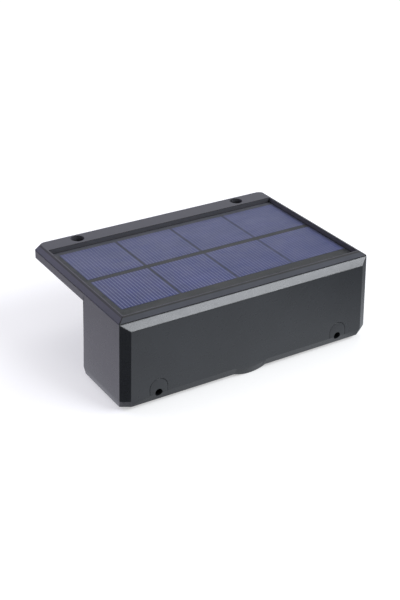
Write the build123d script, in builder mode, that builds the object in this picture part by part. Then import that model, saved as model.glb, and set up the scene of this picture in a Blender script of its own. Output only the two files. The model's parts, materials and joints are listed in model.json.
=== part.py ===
from build123d import *
import math
import os

os.makedirs("parts", exist_ok=True)

# Frame: +X to the right as seen from the front, +Y towards the fence, +Z up.
# The origin is under the middle of the light, level with its lowest point.
front_y = -48.3            # front face of the box, where it meets the seam
seam_z = 48.0              # seam between the housing and the solar frame


def depth(d):
    """Y of a place d behind the front face."""
    return front_y + d


def level(s):
    """Z of a place s above the seam."""
    return seam_z + s


# Housing, outside
body_half_width = 75.0     # at the seam
strip_height = 4.2         # bevelled strip round the bottom edge
flare_side = 1.2           # how far each side leans out down to the strip
flare_front = 1.3
strip_in_side = 0.8        # how far the strip leans in again
strip_in_front = 1.6
strip_in_rear = 0.5
corner_cut_x = 4.9         # chamfers of the two upright front corners
corner_cut_y = 3.0
brow_drop = 3.4            # chamfer along the top of the front face
flange_rear = 97.9
flange_thickness = 4.4
flange_corner_radius = 2.5

# Housing, inside
wall = 2.2
tray_floor = 1.6
end_floor = 2.0            # floor at both ends, round the screw tubes
brow_block_depth = 5.2     # thick part of the front wall, which the frame's hooks catch
brow_block_drop = 4.8
cavity_cut_x = 4.2
cavity_cut_y = 2.6

# Screw tubes, front to back
tube_inset = 5.8           # from the end of the bottom opening
tube_height = 4.6          # heights from here on are above the bottom edge of the box
tube_hole_radius = 2.1
tube_radius = 4.1
arch_radius = 5.1          # arched parting mark round each front hole
arch_height = 7.4
arch_width = 0.35
arch_depth = 0.25

# Arched lip that guards the push button
lip_half_width = 10.0
lip_drop = 2.0
lip_rear = 2.6

# Screw places in the rear rim
rear_hole_x = 51.2
rear_hole_d = 93.1
rear_bore_radius = 3.5
rear_hole_radius = 2.25
rear_boss_radius = 4.7
boss_gap = 0.3

# Bottom opening, its ledge and the cover in it
opening_half = 49.8
opening_front = 2.6
opening_rear_wall = 2.8    # from the opening to the rear of the box
ledge_width = 2.8
ledge_height = (2.8, 4.8)
pier_width = 2.0           # solid between the opening and the end floors
cover_gap = 0.2
cover_height = (0.2, 2.0)
cover_screw_inset = 6.2    # from the ends of the opening
cover_screw_inset_d = 6.6  # from its front and rear
cover_boss_radius = 3.2
cover_boss_height = 12.5
land_half_x = 3.5
land_half_y = 3.9
gasket_width = 2.0

# Screws: the thread runs in a pilot hole of the plastic
pilot_radius = 0.95
thread_gap = 0.05
clear_radius = 1.35
pan_head_radius = 2.1
pan_head_height = 1.1
slot_length = 2.4
slot_width = 0.55
slot_depth = 0.6
cover_screw_length = 8.0
column_screw_length = 5.0
pilot_length = 6.0

# Solar frame
frame_height = 2.8
frame_land = 0.5           # upright edge at its sides, below their bevels
frame_bevel_side = 3.2
frame_front = 3.0          # foot of its front bevel
frame_top_front = 5.5
frame_side = 4.2           # widths of the frame round its window, at the foot
frame_side_front = 6.5
frame_side_rear = 10.4
recess = 2.4               # rim down to the panel's face
rebate_width = 3.1         # rebate that carries the panel
plug_drop = 2.6
plug_gap = 0.2
hook_x = (-45.0, 0.0, 45.0)
hook_width = 8.0
hook_leg = 1.5
hook_reach = 1.5
hook_drop = 6.3
hook_gap = 0.1
frame_screw_x = (-30.0, 0.0, 30.0)
frame_screw_d = 91.6
frame_screw_head_radius = 2.3
frame_screw_head_height = 1.4
frame_screw_tip = 1.0

# Solar panel
panel_gap = 0.4
board_thickness = 1.0
cell_thickness = 0.3
resin_thickness = 0.9
sealant_thickness = 0.2
cell_count = (4, 2)
cell_gap = (0.6, 2.6)
cell_margin = (2.6, 6.2)   # mean margin of the field of cells on the panel
cell_offset = (1.2, 2.8)   # the field sits off the panel's middle

# Light unit
light_d = 23.4
lens_inset = 12.1          # from the ends of the opening
lens_half_y = 7.1
lens_lip = 2.1             # how far the lens's rim reaches behind the cover
lens_rim_half_y = 9.0
lens_rim = 1.2
lens_gap = 0.3
reflector_half_y = 8.8
reflector_height = 7.8
reflector_roof = 1.2
reflector_mouth_y = 6.9
reflector_throat_y = 2.5
reflector_slope = 5.6      # how far each end of the mouth leans in to the throat
ear_inset = 6.8            # ear's screw, from the end of the opening
ear_end = 3.3              # ear's outer end, from its screw
ear_width = 6.4
ear_thickness = 1.6
post_radius = 2.3
post_height = 2.0
led_count = 6
led_size = (3.5, 2.8, 0.8)
led_window = (4.6, 3.8)
led_board_inset = 0.8      # from the ends of the reflector
led_board_half_y = 6.0
led_board_thickness = 1.2
led_screw_inset = 3.8
led_screw_tip = 3.6

# Push button and switch
button_d = 9.8
button_radius = 2.9
button_gap = 0.3
button_reach = 1.2         # below the bottom edge
button_flange_radius = 3.9
button_flange_above = 3.4  # above the bottom edge
button_flange_height = 0.8
button_hub_radius = 2.6
button_hub_height = 1.6
button_travel = 1.2
seal_height = 1.3
plunger_side = 3.0
plunger_height = (4.8, 9.6)
plunger_gap = 0.3
switch_side = 7.0
switch_height = 7.0
switch_bore = 2.8

# Control board, on four columns
board_height = 17.0
control_thickness = 1.6
control_half = 28.5
control_end_gap = 2.6      # from the outsides of the box to the board
column_radius = 2.5
board_column_inset = 4.0   # from the ends of the board
holder_column_reach = 6.5  # from the ends of the holder
column_inset = 4.4         # from the front and rear of the box
peg_radius = 1.0
peg_hole_radius = 1.25
peg_height = 1.4

# Parts on the control board: place (x, d), then sizes
coil_place = (-12.0, 14.0)
coil_flange = (3.6, 0.9)
coil_core = (2.4, 2.4)
capacitor_place = (14.0, 13.0)
capacitor_foot = (6.6, 0.8)
capacitor_can = (3.15, 4.6)
driver_place = (1.0, 20.0)
driver_size = (4.9, 3.9, 1.5)
diode_places = ((-12.0, 27.0), (10.0, 28.0))
diode_size = (2.9, 1.6, 1.1)
resistor_places = ((-4.0, 28.0), (1.0, 28.0), (10.0, 22.0))
resistor_size = (2.0, 1.25, 0.5)

# Battery holder and cells
holder_height = 23.1
holder_floor = 1.4
holder_front = 3.6
holder_rear_gap = 3.4      # to the rear of the box
holder_wall = 1.4
holder_side_wall = 1.2
holder_side_height = 34.0
holder_end_height = 37.5
rib_half = 0.3
rib_height = 4.5
holder_ear_reach = 9.5
holder_ear_half = 2.5
cell_radius = 7.25
cell_wall_gap = 0.15
cell_rib_gap = 0.35
cell_axis_height = 31.8
cell_headroom = 6.95       # from the cells up to the seam, with the frame's plug in it
cell_body = 49.5
nub_radius = 2.75
nub_height = 1.0
contact_thickness = 0.4
contact_height = 11.0
contact_half = 5.5         # half width of one contact
dimple_height = 1.0
dimple_radius = 1.8
leaf_reach = 2.9
leaf_height = 5.0
leaf_half = 4.5            # half length of the bow, and of its flat top
leaf_top_half = 1.2
tail_width = 2.0
tail_reach = 3.6
tail_height = 29.0

# Leads
lead_radius = 0.6
lead_bend = 2.7
lead_run_height = 20.0
lead_half_pitch = 2.0      # red and black run side by side
board_lead_inset = 6.5     # from the end of the board

holder_half = contact_thickness + holder_wall + (
    cell_body + nub_height + dimple_height + leaf_reach
) / 2
cell_front_d = holder_front + holder_side_wall + cell_wall_gap + cell_radius
cell_rear_d = cell_front_d + 2 * (cell_radius + cell_rib_gap + rib_half)
cell_axis_d = (cell_front_d, cell_rear_d)
holder_rear = cell_rear_d + cell_radius + cell_wall_gap + holder_side_wall
box_depth = holder_rear + holder_rear_gap
opening_rear = box_depth - opening_rear_wall
control_front = control_end_gap
control_rear = box_depth - control_end_gap
board_column_x = control_half - board_column_inset
holder_column_x = holder_half + holder_column_reach
column_d = (column_inset, box_depth - column_inset)
box_height = cell_axis_height + cell_radius + cell_headroom
bottom_s = -box_height
crease_s = bottom_s + strip_height
tube_s = bottom_s + tube_height
arch_s = bottom_s + arch_height
ledge_bottom, ledge_top = [bottom_s + height for height in ledge_height]
cover_bottom, cover_top = [bottom_s + height for height in cover_height]
cover_boss_top = bottom_s + cover_boss_height
lens_bottom = bottom_s
button_bottom = bottom_s - button_reach
button_flange_bottom = bottom_s + button_flange_above
plunger_bottom, plunger_top = [bottom_s + height for height in plunger_height]
board_top = bottom_s + board_height
holder_bottom = bottom_s + holder_height
holder_side_top = bottom_s + holder_side_height
holder_end_top = bottom_s + holder_end_height
cell_axis_s = bottom_s + cell_axis_height
tail_s = bottom_s + tail_height
lead_run_s = bottom_s + lead_run_height
tube_x = opening_half + tube_inset
pier_half = opening_half + pier_width
ledge_half = opening_half - ledge_width
ledge_front = opening_front + ledge_width
ledge_rear = opening_rear - ledge_width
cover_screw_x = opening_half - cover_screw_inset
cover_screw_d = (opening_front + cover_screw_inset_d, opening_rear - cover_screw_inset_d)
cavity_rear = box_depth - wall
tray_half = body_half_width - wall
tray_rear = flange_rear - wall
tray_bottom = tray_floor - flange_thickness
panel_face = frame_height - recess
resin_bottom = panel_face - resin_thickness
panel_bottom = resin_bottom - board_thickness
rebate = panel_bottom - sealant_thickness
plug_half = tray_half - plug_gap
plug_front = brow_block_depth + plug_gap
plug_rear = tray_rear - plug_gap
window_half = body_half_width - frame_side
window_front = frame_side_front
window_rear = flange_rear - frame_side_rear
panel_half = window_half - panel_gap
panel_front = window_front + panel_gap
panel_rear = window_rear - panel_gap
cell_width = (2 * (panel_half - cell_margin[0]) + cell_gap[0]) / cell_count[0] - cell_gap[0]
cell_length = (
    panel_rear - panel_front - 2 * cell_margin[1] + cell_gap[1]
) / cell_count[1] - cell_gap[1]
cell_pitch_x = cell_width + cell_gap[0]
cell_pitch_y = cell_length + cell_gap[1]
cell_centre_x = cell_offset[0]
cell_centre_d = (panel_front + panel_rear) / 2 + cell_offset[1]
mouth_half = window_half - rebate_width
mouth_front = window_front + rebate_width
mouth_rear = window_rear - rebate_width
lens_half = opening_half - lens_inset
lens_rim_half = lens_half + lens_lip
lens_top = cover_top + lens_rim
reflector_half = lens_rim_half
reflector_mouth_half = lens_half - 0.1
reflector_throat_half = reflector_mouth_half - reflector_slope
reflector_top = lens_top + reflector_height
ear_x = opening_half - ear_inset
led_pitch = 2 * reflector_throat_half / (led_count - 0.3)
led_board_half = reflector_half - led_board_inset
led_screw_x = reflector_half - led_screw_inset
led_board_top = reflector_top + led_board_thickness
board_bottom = board_top - control_thickness
contact_x = holder_half - holder_wall
nub_end = contact_x - contact_thickness - dimple_height
thread_radius = pilot_radius - thread_gap

cover_screws_at = [
    (x, depth(d)) for x in (-cover_screw_x, cover_screw_x) for d in cover_screw_d
]
board_columns_at = [
    (x, depth(d)) for x in (-board_column_x, board_column_x) for d in column_d
]
holder_columns_at = [
    (x, depth(d)) for x in (-holder_column_x, holder_column_x) for d in column_d
]
board_screws_at = [board_columns_at[0], board_columns_at[3]]
board_pegs_at = [board_columns_at[1], board_columns_at[2]]
holder_screws_at = [holder_columns_at[0], holder_columns_at[3]]
holder_pegs_at = [holder_columns_at[1], holder_columns_at[2]]
rear_holes_at = [(-rear_hole_x, depth(rear_hole_d)), (rear_hole_x, depth(rear_hole_d))]
frame_screws_at = [(x, depth(frame_screw_d)) for x in frame_screw_x]
reflector_screws_at = [(-ear_x, depth(light_d)), (ear_x, depth(light_d))]
led_screws_at = [(-led_screw_x, depth(light_d)), (led_screw_x, depth(light_d))]
leds_at = [
    ((number - (led_count - 1) / 2) * led_pitch, depth(light_d))
    for number in range(led_count)
]


def discs(s, radius, places):
    """Circles of one radius at height s."""
    with BuildSketch(Plane.XY.offset(level(s))) as drawn:
        with Locations(*places):
            Circle(radius)
    return drawn.sketch


def plates(s, width, length, places):
    """Rectangles of one size at height s."""
    with BuildSketch(Plane.XY.offset(level(s))) as drawn:
        with Locations(*places):
            Rectangle(width, length)
    return drawn.sketch


def field(s, half_width, front, rear, corner=0.0):
    """Rectangle at height s, centred in X, from depth front to depth rear."""
    with BuildSketch(Plane.XY.offset(level(s))) as drawn:
        with Locations((0, depth((front + rear) / 2))):
            if corner:
                RectangleRounded(2 * half_width, rear - front, corner)
            else:
                Rectangle(2 * half_width, rear - front)
    return drawn.sketch


def cut_corner_field(s, half_width, front, rear, cut_x, cut_y):
    """Rectangle at height s with its two front corners cut off."""
    with BuildSketch(Plane.XY.offset(level(s))) as drawn:
        with BuildLine():
            Polyline(
                (-half_width, depth(rear)),
                (-half_width, depth(front + cut_y)),
                (-half_width + cut_x, depth(front)),
                (half_width - cut_x, depth(front)),
                (half_width, depth(front + cut_y)),
                (half_width, depth(rear)),
                close=True,
            )
        make_face()
    return drawn.sketch


def on_board(*places):
    """Places on the control board, given as x and distance behind the front face."""
    return [(x, depth(d)) for x, d in places]


def arched_field(d, s):
    """Segment of a circle hanging from height s, in the upright plane at depth d."""
    with BuildSketch(Plane.XZ.offset(-depth(d))) as drawn:
        with BuildLine():
            ThreePointArc(
                (-lip_half_width, level(s)),
                (0, level(s - lip_drop)),
                (lip_half_width, level(s)),
            )
            Line((lip_half_width, level(s)), (-lip_half_width, level(s)))
        make_face()
    return drawn.sketch


def cross_slots(s, places):
    """Cross recesses of screw heads at height s."""
    with BuildSketch(Plane.XY.offset(level(s))) as drawn:
        with Locations(*places):
            Rectangle(slot_length, slot_width)
            Rectangle(slot_width, slot_length)
    return drawn.sketch


def pan_screws(seat, tip, places):
    """Pan-head screws that point down: heads stand on seat, threads end at tip."""
    with BuildPart() as screws:
        extrude(discs(seat, pan_head_radius, places), amount=pan_head_height)
        extrude(discs(tip, thread_radius, places), amount=seat - tip)
        extrude(
            cross_slots(seat + pan_head_height - slot_depth, places),
            amount=slot_depth,
            mode=Mode.SUBTRACT,
        )
    return screws


def save(piece, name):
    """Label a finished piece and write it."""
    piece.part.label = name
    export_step(piece.part, f"parts/{name}.step")


# Housing ---------------------------------------------------------------------------------------
with BuildPart() as housing:
    top = cut_corner_field(
        0, body_half_width, 0, box_depth + wall, corner_cut_x, corner_cut_y
    )
    crease, strip_top = [
        cut_corner_field(
            crease_s,
            body_half_width + flare_side,
            -flare_front,
            rear,
            corner_cut_x,
            corner_cut_y,
        )
        for rear in (box_depth + wall, box_depth)
    ]
    edge = cut_corner_field(
        bottom_s,
        body_half_width + flare_side - strip_in_side,
        strip_in_front - flare_front,
        box_depth - strip_in_rear,
        corner_cut_x,
        corner_cut_y,
    )
    loft([crease.face(), top.face()], ruled=True)
    # the wall that lies against the fence is flat
    extrude(
        field(crease_s, 2 * body_half_width, box_depth, box_depth + 2 * wall),
        amount=-crease_s,
        mode=Mode.SUBTRACT,
    )
    loft([edge.face(), strip_top.face()], ruled=True)
    extrude(
        field(-flange_thickness, body_half_width, box_depth - 10, flange_rear),
        amount=flange_thickness,
    )
    rear_corners = housing.edges().filter_by(Axis.Z).group_by(Axis.Y)[-1]
    fillet(rear_corners, radius=flange_corner_radius)
    # arched lip at the bottom edge
    loft(
        [
            arched_field(strip_in_front - flare_front, bottom_s).face(),
            arched_field(-flare_front, crease_s).face(),
        ],
        ruled=True,
    )
    extrude(
        arched_field(lip_rear, bottom_s),
        amount=lip_rear + flare_front - strip_in_front,
    )
    # sloping top of the front face
    with BuildSketch(Plane.YZ) as brow:
        with BuildLine():
            Polyline(
                (depth(1.5 * corner_cut_y), level(0.5 * brow_drop)),
                (depth(-corner_cut_y), level(-2 * brow_drop)),
                (depth(-3 * corner_cut_y), level(-2 * brow_drop)),
                (depth(-3 * corner_cut_y), level(0.5 * brow_drop)),
                close=True,
            )
        make_face()
    extrude(amount=body_half_width + 5, both=True, mode=Mode.SUBTRACT)
    # hollow: box, thick front edge, tray of the flange
    extrude(
        cut_corner_field(
            ledge_top, tray_half, wall, cavity_rear, cavity_cut_x, cavity_cut_y
        ),
        amount=-brow_block_drop - ledge_top,
        mode=Mode.SUBTRACT,
    )
    extrude(
        field(-brow_block_drop, tray_half, brow_block_depth, cavity_rear),
        amount=brow_block_drop,
        mode=Mode.SUBTRACT,
    )
    extrude(
        field(tray_bottom, tray_half, brow_block_depth, tray_rear),
        amount=-tray_bottom,
        mode=Mode.SUBTRACT,
    )
    # end floors
    with BuildSketch(Plane.XY.offset(level(bottom_s + end_floor))) as ends:
        add(
            cut_corner_field(
                bottom_s + end_floor,
                tray_half,
                wall,
                cavity_rear,
                cavity_cut_x,
                cavity_cut_y,
            )
        )
        with Locations((0, depth(box_depth / 2))):
            Rectangle(2 * pier_half, 2 * box_depth, mode=Mode.SUBTRACT)
    extrude(amount=ledge_top - end_floor - bottom_s, mode=Mode.SUBTRACT)
    # bottom opening with its ledge
    extrude(
        field(bottom_s - lip_drop, opening_half, opening_front, opening_rear),
        amount=ledge_bottom - bottom_s + lip_drop,
        mode=Mode.SUBTRACT,
    )
    extrude(
        field(ledge_bottom, ledge_half, ledge_front, ledge_rear),
        amount=ledge_top - ledge_bottom,
        mode=Mode.SUBTRACT,
    )
    # lands and bosses for the cover screws
    lands_at = [
        (x, depth(d))
        for x in (-ledge_half + land_half_x - 0.2, ledge_half - land_half_x + 0.2)
        for d in (ledge_front + land_half_y - 0.2, ledge_rear - land_half_y + 0.2)
    ]
    extrude(
        plates(cover_top, 2 * land_half_x, 2 * land_half_y, lands_at),
        amount=ledge_top - cover_top,
    )
    extrude(
        discs(cover_top, cover_boss_radius, cover_screws_at),
        amount=cover_boss_top - cover_top,
    )
    # columns for the control board and the battery holder
    extrude(
        discs(ledge_top, column_radius, board_columns_at),
        amount=board_bottom - ledge_top,
    )
    extrude(
        discs(ledge_top, column_radius, holder_columns_at),
        amount=holder_bottom - ledge_top,
    )
    extrude(
        discs(board_bottom, peg_radius, board_pegs_at),
        amount=control_thickness + peg_height / 2,
    )
    extrude(
        discs(holder_bottom, peg_radius, holder_pegs_at),
        amount=ear_thickness + peg_height / 2,
    )
    # screw tubes from the front face to the rear wall
    with BuildSketch(Plane.XZ.offset(-depth(box_depth - 1))) as tubes:
        with Locations((-tube_x, level(tube_s)), (tube_x, level(tube_s))):
            Circle(tube_radius)
    extrude(amount=box_depth - 2)
    with BuildSketch(Plane.XZ.offset(-depth(box_depth + 5))) as tube_holes:
        with Locations((-tube_x, level(tube_s)), (tube_x, level(tube_s))):
            Circle(tube_hole_radius)
    extrude(amount=box_depth + 10, mode=Mode.SUBTRACT)
    # arched marks on the sloping front face
    lean = flare_front / (box_height - strip_height)
    for side in (-1, 1):
        face_plane = Plane(
            origin=(side * tube_x, depth(arch_s * lean), level(arch_s)),
            x_dir=(1, 0, 0),
            z_dir=(0, -1, lean),
        )
        with BuildSketch(face_plane) as mark:
            with BuildLine():
                Line((-arch_radius, crease_s - arch_s), (-arch_radius, 0))
                ThreePointArc((-arch_radius, 0), (0, arch_radius), (arch_radius, 0))
                Line((arch_radius, 0), (arch_radius, crease_s - arch_s))
            trace(line_width=arch_width)
        extrude(amount=-arch_depth, mode=Mode.SUBTRACT)
    # bosses, bores and holes in the flange
    extrude(
        discs(tray_bottom, rear_boss_radius, rear_holes_at),
        amount=-tray_bottom,
    )
    extrude(
        discs(tray_bottom, rear_bore_radius, rear_holes_at),
        amount=-tray_bottom,
        mode=Mode.SUBTRACT,
    )
    extrude(
        discs(-flange_thickness, rear_hole_radius, rear_holes_at),
        amount=flange_thickness,
        mode=Mode.SUBTRACT,
    )
    sink_planes = [
        Plane(origin=(x, y, level(-flange_thickness)), x_dir=(1, 0, 0), z_dir=(0, 0, -1))
        for x, y in frame_screws_at
    ]
    with Locations(*sink_planes):
        CounterSinkHole(
            radius=clear_radius,
            counter_sink_radius=frame_screw_head_radius + thread_gap,
            depth=flange_thickness,
            counter_sink_angle=90,
        )
    # pilot holes
    extrude(
        discs(cover_top, pilot_radius, cover_screws_at),
        amount=cover_boss_top - cover_top - 1.5,
        mode=Mode.SUBTRACT,
    )
    extrude(
        discs(board_bottom - pilot_length, pilot_radius, board_screws_at),
        amount=pilot_length,
        mode=Mode.SUBTRACT,
    )
    extrude(
        discs(holder_bottom - pilot_length, pilot_radius, holder_screws_at),
        amount=pilot_length,
        mode=Mode.SUBTRACT,
    )
save(housing, "housing")

# Solar frame -----------------------------------------------------------------------------------
with BuildPart() as solar_frame:
    foot = field(0, body_half_width, frame_front, flange_rear)
    front_slope = (frame_top_front - frame_front) / frame_height
    land = field(
        frame_land, body_half_width, frame_front + front_slope * frame_land, flange_rear
    )
    crown = field(
        frame_height, body_half_width - frame_bevel_side, frame_top_front, flange_rear
    )
    loft([foot.face(), land.face()], ruled=True)
    loft([land.face(), crown.face()], ruled=True)
    # rear corners rounded in line with the flange below
    extrude(
        field(
            0,
            body_half_width,
            frame_front - 2 * flange_corner_radius,
            flange_rear,
            flange_corner_radius,
        ),
        amount=frame_height,
        mode=Mode.INTERSECT,
    )
    extrude(field(-plug_drop, plug_half, plug_front, plug_rear), amount=plug_drop)
    extrude(
        field(rebate, window_half, window_front, window_rear),
        amount=frame_height - rebate,
        mode=Mode.SUBTRACT,
    )
    extrude(
        field(-plug_drop, mouth_half, mouth_front, mouth_rear),
        amount=plug_drop,
        mode=Mode.SUBTRACT,
    )
    # hooks that catch under the thick front edge of the housing
    hook_places = [(x, depth(plug_front + hook_leg / 2)) for x in hook_x]
    tip_places = [(x, depth(plug_front - hook_reach / 2)) for x in hook_x]
    extrude(
        plates(-hook_drop, hook_width, hook_leg, hook_places),
        amount=hook_drop - plug_drop,
    )
    extrude(
        plates(-hook_drop, hook_width, hook_reach, tip_places),
        amount=hook_drop - brow_block_drop - hook_gap,
    )
    tip_edges = (
        solar_frame.edges()
        .filter_by(Axis.X)
        .group_by(Axis.Z)[0]
        .group_by(Axis.Y)[0]
    )
    chamfer(tip_edges, length=0.6)
    # room for the housing's bosses, holes for the mounting screw heads, pilot holes
    extrude(
        discs(-plug_drop, rear_boss_radius + boss_gap, rear_holes_at),
        amount=plug_drop,
        mode=Mode.SUBTRACT,
    )
    extrude(
        discs(0, rear_bore_radius, rear_holes_at),
        amount=frame_height,
        mode=Mode.SUBTRACT,
    )
    extrude(
        discs(-plug_drop, pilot_radius, frame_screws_at),
        amount=plug_drop + frame_screw_tip + 0.4,
        mode=Mode.SUBTRACT,
    )
save(solar_frame, "solar_frame")

with BuildPart() as frame_screws:
    extrude(
        discs(-flange_thickness, frame_screw_head_radius, frame_screws_at),
        amount=frame_screw_head_height,
        taper=45,
    )
    extrude(
        discs(-flange_thickness + 0.5, thread_radius, frame_screws_at),
        amount=flange_thickness - 0.5 + frame_screw_tip,
    )
    extrude(
        cross_slots(-flange_thickness, frame_screws_at),
        amount=slot_depth,
        mode=Mode.SUBTRACT,
    )
save(frame_screws, "frame_screws")

# Solar panel -----------------------------------------------------------------------------------
cell_places = GridLocations(cell_pitch_x, cell_pitch_y, *cell_count).local_locations
cells_at = [
    (cell_centre_x + place.position.X, depth(cell_centre_d) + place.position.Y)
    for place in cell_places
]

with BuildPart() as panel_board:
    extrude(
        field(panel_bottom, panel_half, panel_front, panel_rear, corner=1.0),
        amount=board_thickness,
    )
save(panel_board, "panel_board")

with BuildPart() as solar_cells:
    extrude(
        plates(resin_bottom, cell_width, cell_length, cells_at),
        amount=cell_thickness,
    )
save(solar_cells, "solar_cells")

with BuildPart() as panel_resin:
    extrude(
        field(resin_bottom, panel_half, panel_front, panel_rear, corner=1.0),
        amount=resin_thickness,
    )
    extrude(
        plates(resin_bottom, cell_width, cell_length, cells_at),
        amount=cell_thickness,
        mode=Mode.SUBTRACT,
    )
save(panel_resin, "panel_resin")

with BuildPart() as panel_sealant:
    extrude(
        field(rebate, panel_half, panel_front, panel_rear),
        amount=sealant_thickness,
    )
    extrude(
        field(rebate, mouth_half + 0.2, mouth_front - 0.2, mouth_rear + 0.2),
        amount=sealant_thickness,
        mode=Mode.SUBTRACT,
    )
save(panel_sealant, "panel_sealant")

# Bottom cover ----------------------------------------------------------------------------------
with BuildPart() as lamp_cover:
    extrude(
        field(
            cover_bottom,
            opening_half - cover_gap,
            opening_front + cover_gap,
            opening_rear - cover_gap,
            corner=0.8,
        ),
        amount=cover_top - cover_bottom,
    )
    extrude(discs(cover_top, post_radius, reflector_screws_at), amount=post_height)
    with BuildSketch(Plane.XY.offset(level(cover_bottom))):
        with Locations((0, depth(light_d))):
            Rectangle(2 * (lens_half + lens_gap), 2 * (lens_half_y + lens_gap))
        with Locations((0, depth(button_d))):
            Circle(button_radius + button_gap)
        with Locations(*cover_screws_at):
            Circle(clear_radius)
    extrude(amount=cover_top - cover_bottom, mode=Mode.SUBTRACT)
    extrude(
        discs(cover_bottom, pan_head_radius + 0.3, cover_screws_at),
        amount=pan_head_height,
        mode=Mode.SUBTRACT,
    )
    extrude(
        discs(cover_top - 1.0, pilot_radius, reflector_screws_at),
        amount=post_height + 1.0,
        mode=Mode.SUBTRACT,
    )
save(lamp_cover, "lamp_cover")

with BuildPart() as cover_screws:
    extrude(
        discs(cover_bottom, pan_head_radius, cover_screws_at), amount=pan_head_height
    )
    extrude(
        discs(cover_bottom + pan_head_height, thread_radius, cover_screws_at),
        amount=cover_screw_length,
    )
    extrude(
        cross_slots(cover_bottom, cover_screws_at),
        amount=slot_depth,
        mode=Mode.SUBTRACT,
    )
save(cover_screws, "cover_screws")

with BuildPart() as cover_gasket:
    extrude(
        field(
            cover_top,
            opening_half - 2 * cover_gap,
            opening_front + 2 * cover_gap,
            opening_rear - 2 * cover_gap,
        ),
        amount=ledge_bottom - cover_top,
    )
    extrude(
        field(
            cover_top,
            opening_half - 2 * cover_gap - gasket_width,
            opening_front + 2 * cover_gap + gasket_width,
            opening_rear - 2 * cover_gap - gasket_width,
        ),
        amount=ledge_bottom - cover_top,
        mode=Mode.SUBTRACT,
    )
save(cover_gasket, "cover_gasket")

with BuildPart() as diffuser_lens:
    extrude(
        plates(cover_top, 2 * lens_rim_half, 2 * lens_rim_half_y, [(0, depth(light_d))]),
        amount=lens_rim,
    )
    extrude(
        plates(lens_bottom, 2 * lens_half, 2 * lens_half_y, [(0, depth(light_d))]),
        amount=cover_top - lens_bottom,
    )
    fillet(diffuser_lens.faces().sort_by(Axis.Z)[0].edges(), radius=0.6)
save(diffuser_lens, "diffuser_lens")

with BuildPart() as reflector:
    centre = [(0, depth(light_d))]
    extrude(
        plates(lens_top, 2 * reflector_half, 2 * reflector_half_y, centre),
        amount=reflector_height,
    )
    extrude(
        plates(cover_top + post_height, 2 * (ear_x + ear_end), ear_width, centre),
        amount=ear_thickness,
    )
    mouth = plates(lens_top, 2 * reflector_mouth_half, 2 * reflector_mouth_y, centre)
    throat = plates(
        reflector_top - reflector_roof,
        2 * reflector_throat_half,
        2 * reflector_throat_y,
        centre,
    )
    loft([mouth.face(), throat.face()], ruled=True, mode=Mode.SUBTRACT)
    extrude(
        plates(reflector_top - reflector_roof, led_window[0], led_window[1], leds_at),
        amount=reflector_roof,
        mode=Mode.SUBTRACT,
    )
    extrude(
        discs(cover_top + post_height, pilot_radius + 0.15, reflector_screws_at),
        amount=ear_thickness,
        mode=Mode.SUBTRACT,
    )
    extrude(
        discs(reflector_top - led_screw_tip - 0.4, pilot_radius, led_screws_at),
        amount=led_screw_tip + 0.4,
        mode=Mode.SUBTRACT,
    )
save(reflector, "reflector")

with BuildPart() as led_board:
    extrude(
        plates(reflector_top, 2 * led_board_half, 2 * led_board_half_y, centre),
        amount=led_board_thickness,
    )
    extrude(
        discs(reflector_top, pilot_radius + 0.15, led_screws_at),
        amount=led_board_thickness,
        mode=Mode.SUBTRACT,
    )
save(led_board, "led_board")

with BuildPart() as led_packages:
    extrude(
        plates(reflector_top - led_size[2], led_size[0], led_size[1], leds_at),
        amount=led_size[2],
    )
save(led_packages, "led_packages")

reflector_screws = pan_screws(
    cover_top + post_height + ear_thickness, cover_top - 0.8, reflector_screws_at
)
save(reflector_screws, "reflector_screws")
led_board_screws = pan_screws(
    led_board_top, reflector_top - led_screw_tip, led_screws_at
)
save(led_board_screws, "led_board_screws")

# Push button and switch ------------------------------------------------------------------------
button_at = [(0, depth(button_d))]

with BuildPart() as switch_button:
    extrude(
        discs(button_bottom, button_radius, button_at),
        amount=button_flange_bottom - button_bottom,
    )
    fillet(switch_button.faces().sort_by(Axis.Z)[0].edges(), radius=0.7)
    extrude(
        discs(button_flange_bottom, button_flange_radius, button_at),
        amount=button_flange_height,
    )
    hub_bottom = button_flange_bottom + button_flange_height
    extrude(discs(hub_bottom, button_hub_radius, button_at), amount=button_hub_height)
    extrude(
        plates(plunger_bottom, plunger_side + 0.1, plunger_side + 0.1, button_at),
        amount=hub_bottom + button_hub_height - plunger_bottom,
        mode=Mode.SUBTRACT,
    )
save(switch_button, "switch_button")

with BuildPart() as switch_plunger:
    extrude(
        plates(plunger_bottom, plunger_side, plunger_side, button_at),
        amount=plunger_top - plunger_bottom,
    )
save(switch_plunger, "switch_plunger")

with BuildPart() as push_switch:
    extrude(
        plates(board_bottom - switch_height, switch_side, switch_side, button_at),
        amount=switch_height,
    )
    bore_side = plunger_side + 2 * plunger_gap
    extrude(
        plates(board_bottom - switch_height, bore_side, bore_side, button_at),
        amount=switch_bore,
        mode=Mode.SUBTRACT,
    )
save(push_switch, "push_switch")

with BuildPart() as button_seal:
    extrude(discs(cover_top, button_flange_radius, button_at), amount=seal_height)
    extrude(
        discs(cover_top, button_radius + button_gap, button_at),
        amount=seal_height,
        mode=Mode.SUBTRACT,
    )
save(button_seal, "button_seal")

# Control board ---------------------------------------------------------------------------------
with BuildPart() as control_board:
    extrude(
        field(board_bottom, control_half, control_front, control_rear),
        amount=control_thickness,
    )
    extrude(
        discs(board_bottom, peg_hole_radius, board_columns_at),
        amount=control_thickness,
        mode=Mode.SUBTRACT,
    )
save(control_board, "control_board")

board_screws = pan_screws(
    board_top, board_bottom - column_screw_length, board_screws_at
)
save(board_screws, "board_screws")

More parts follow.
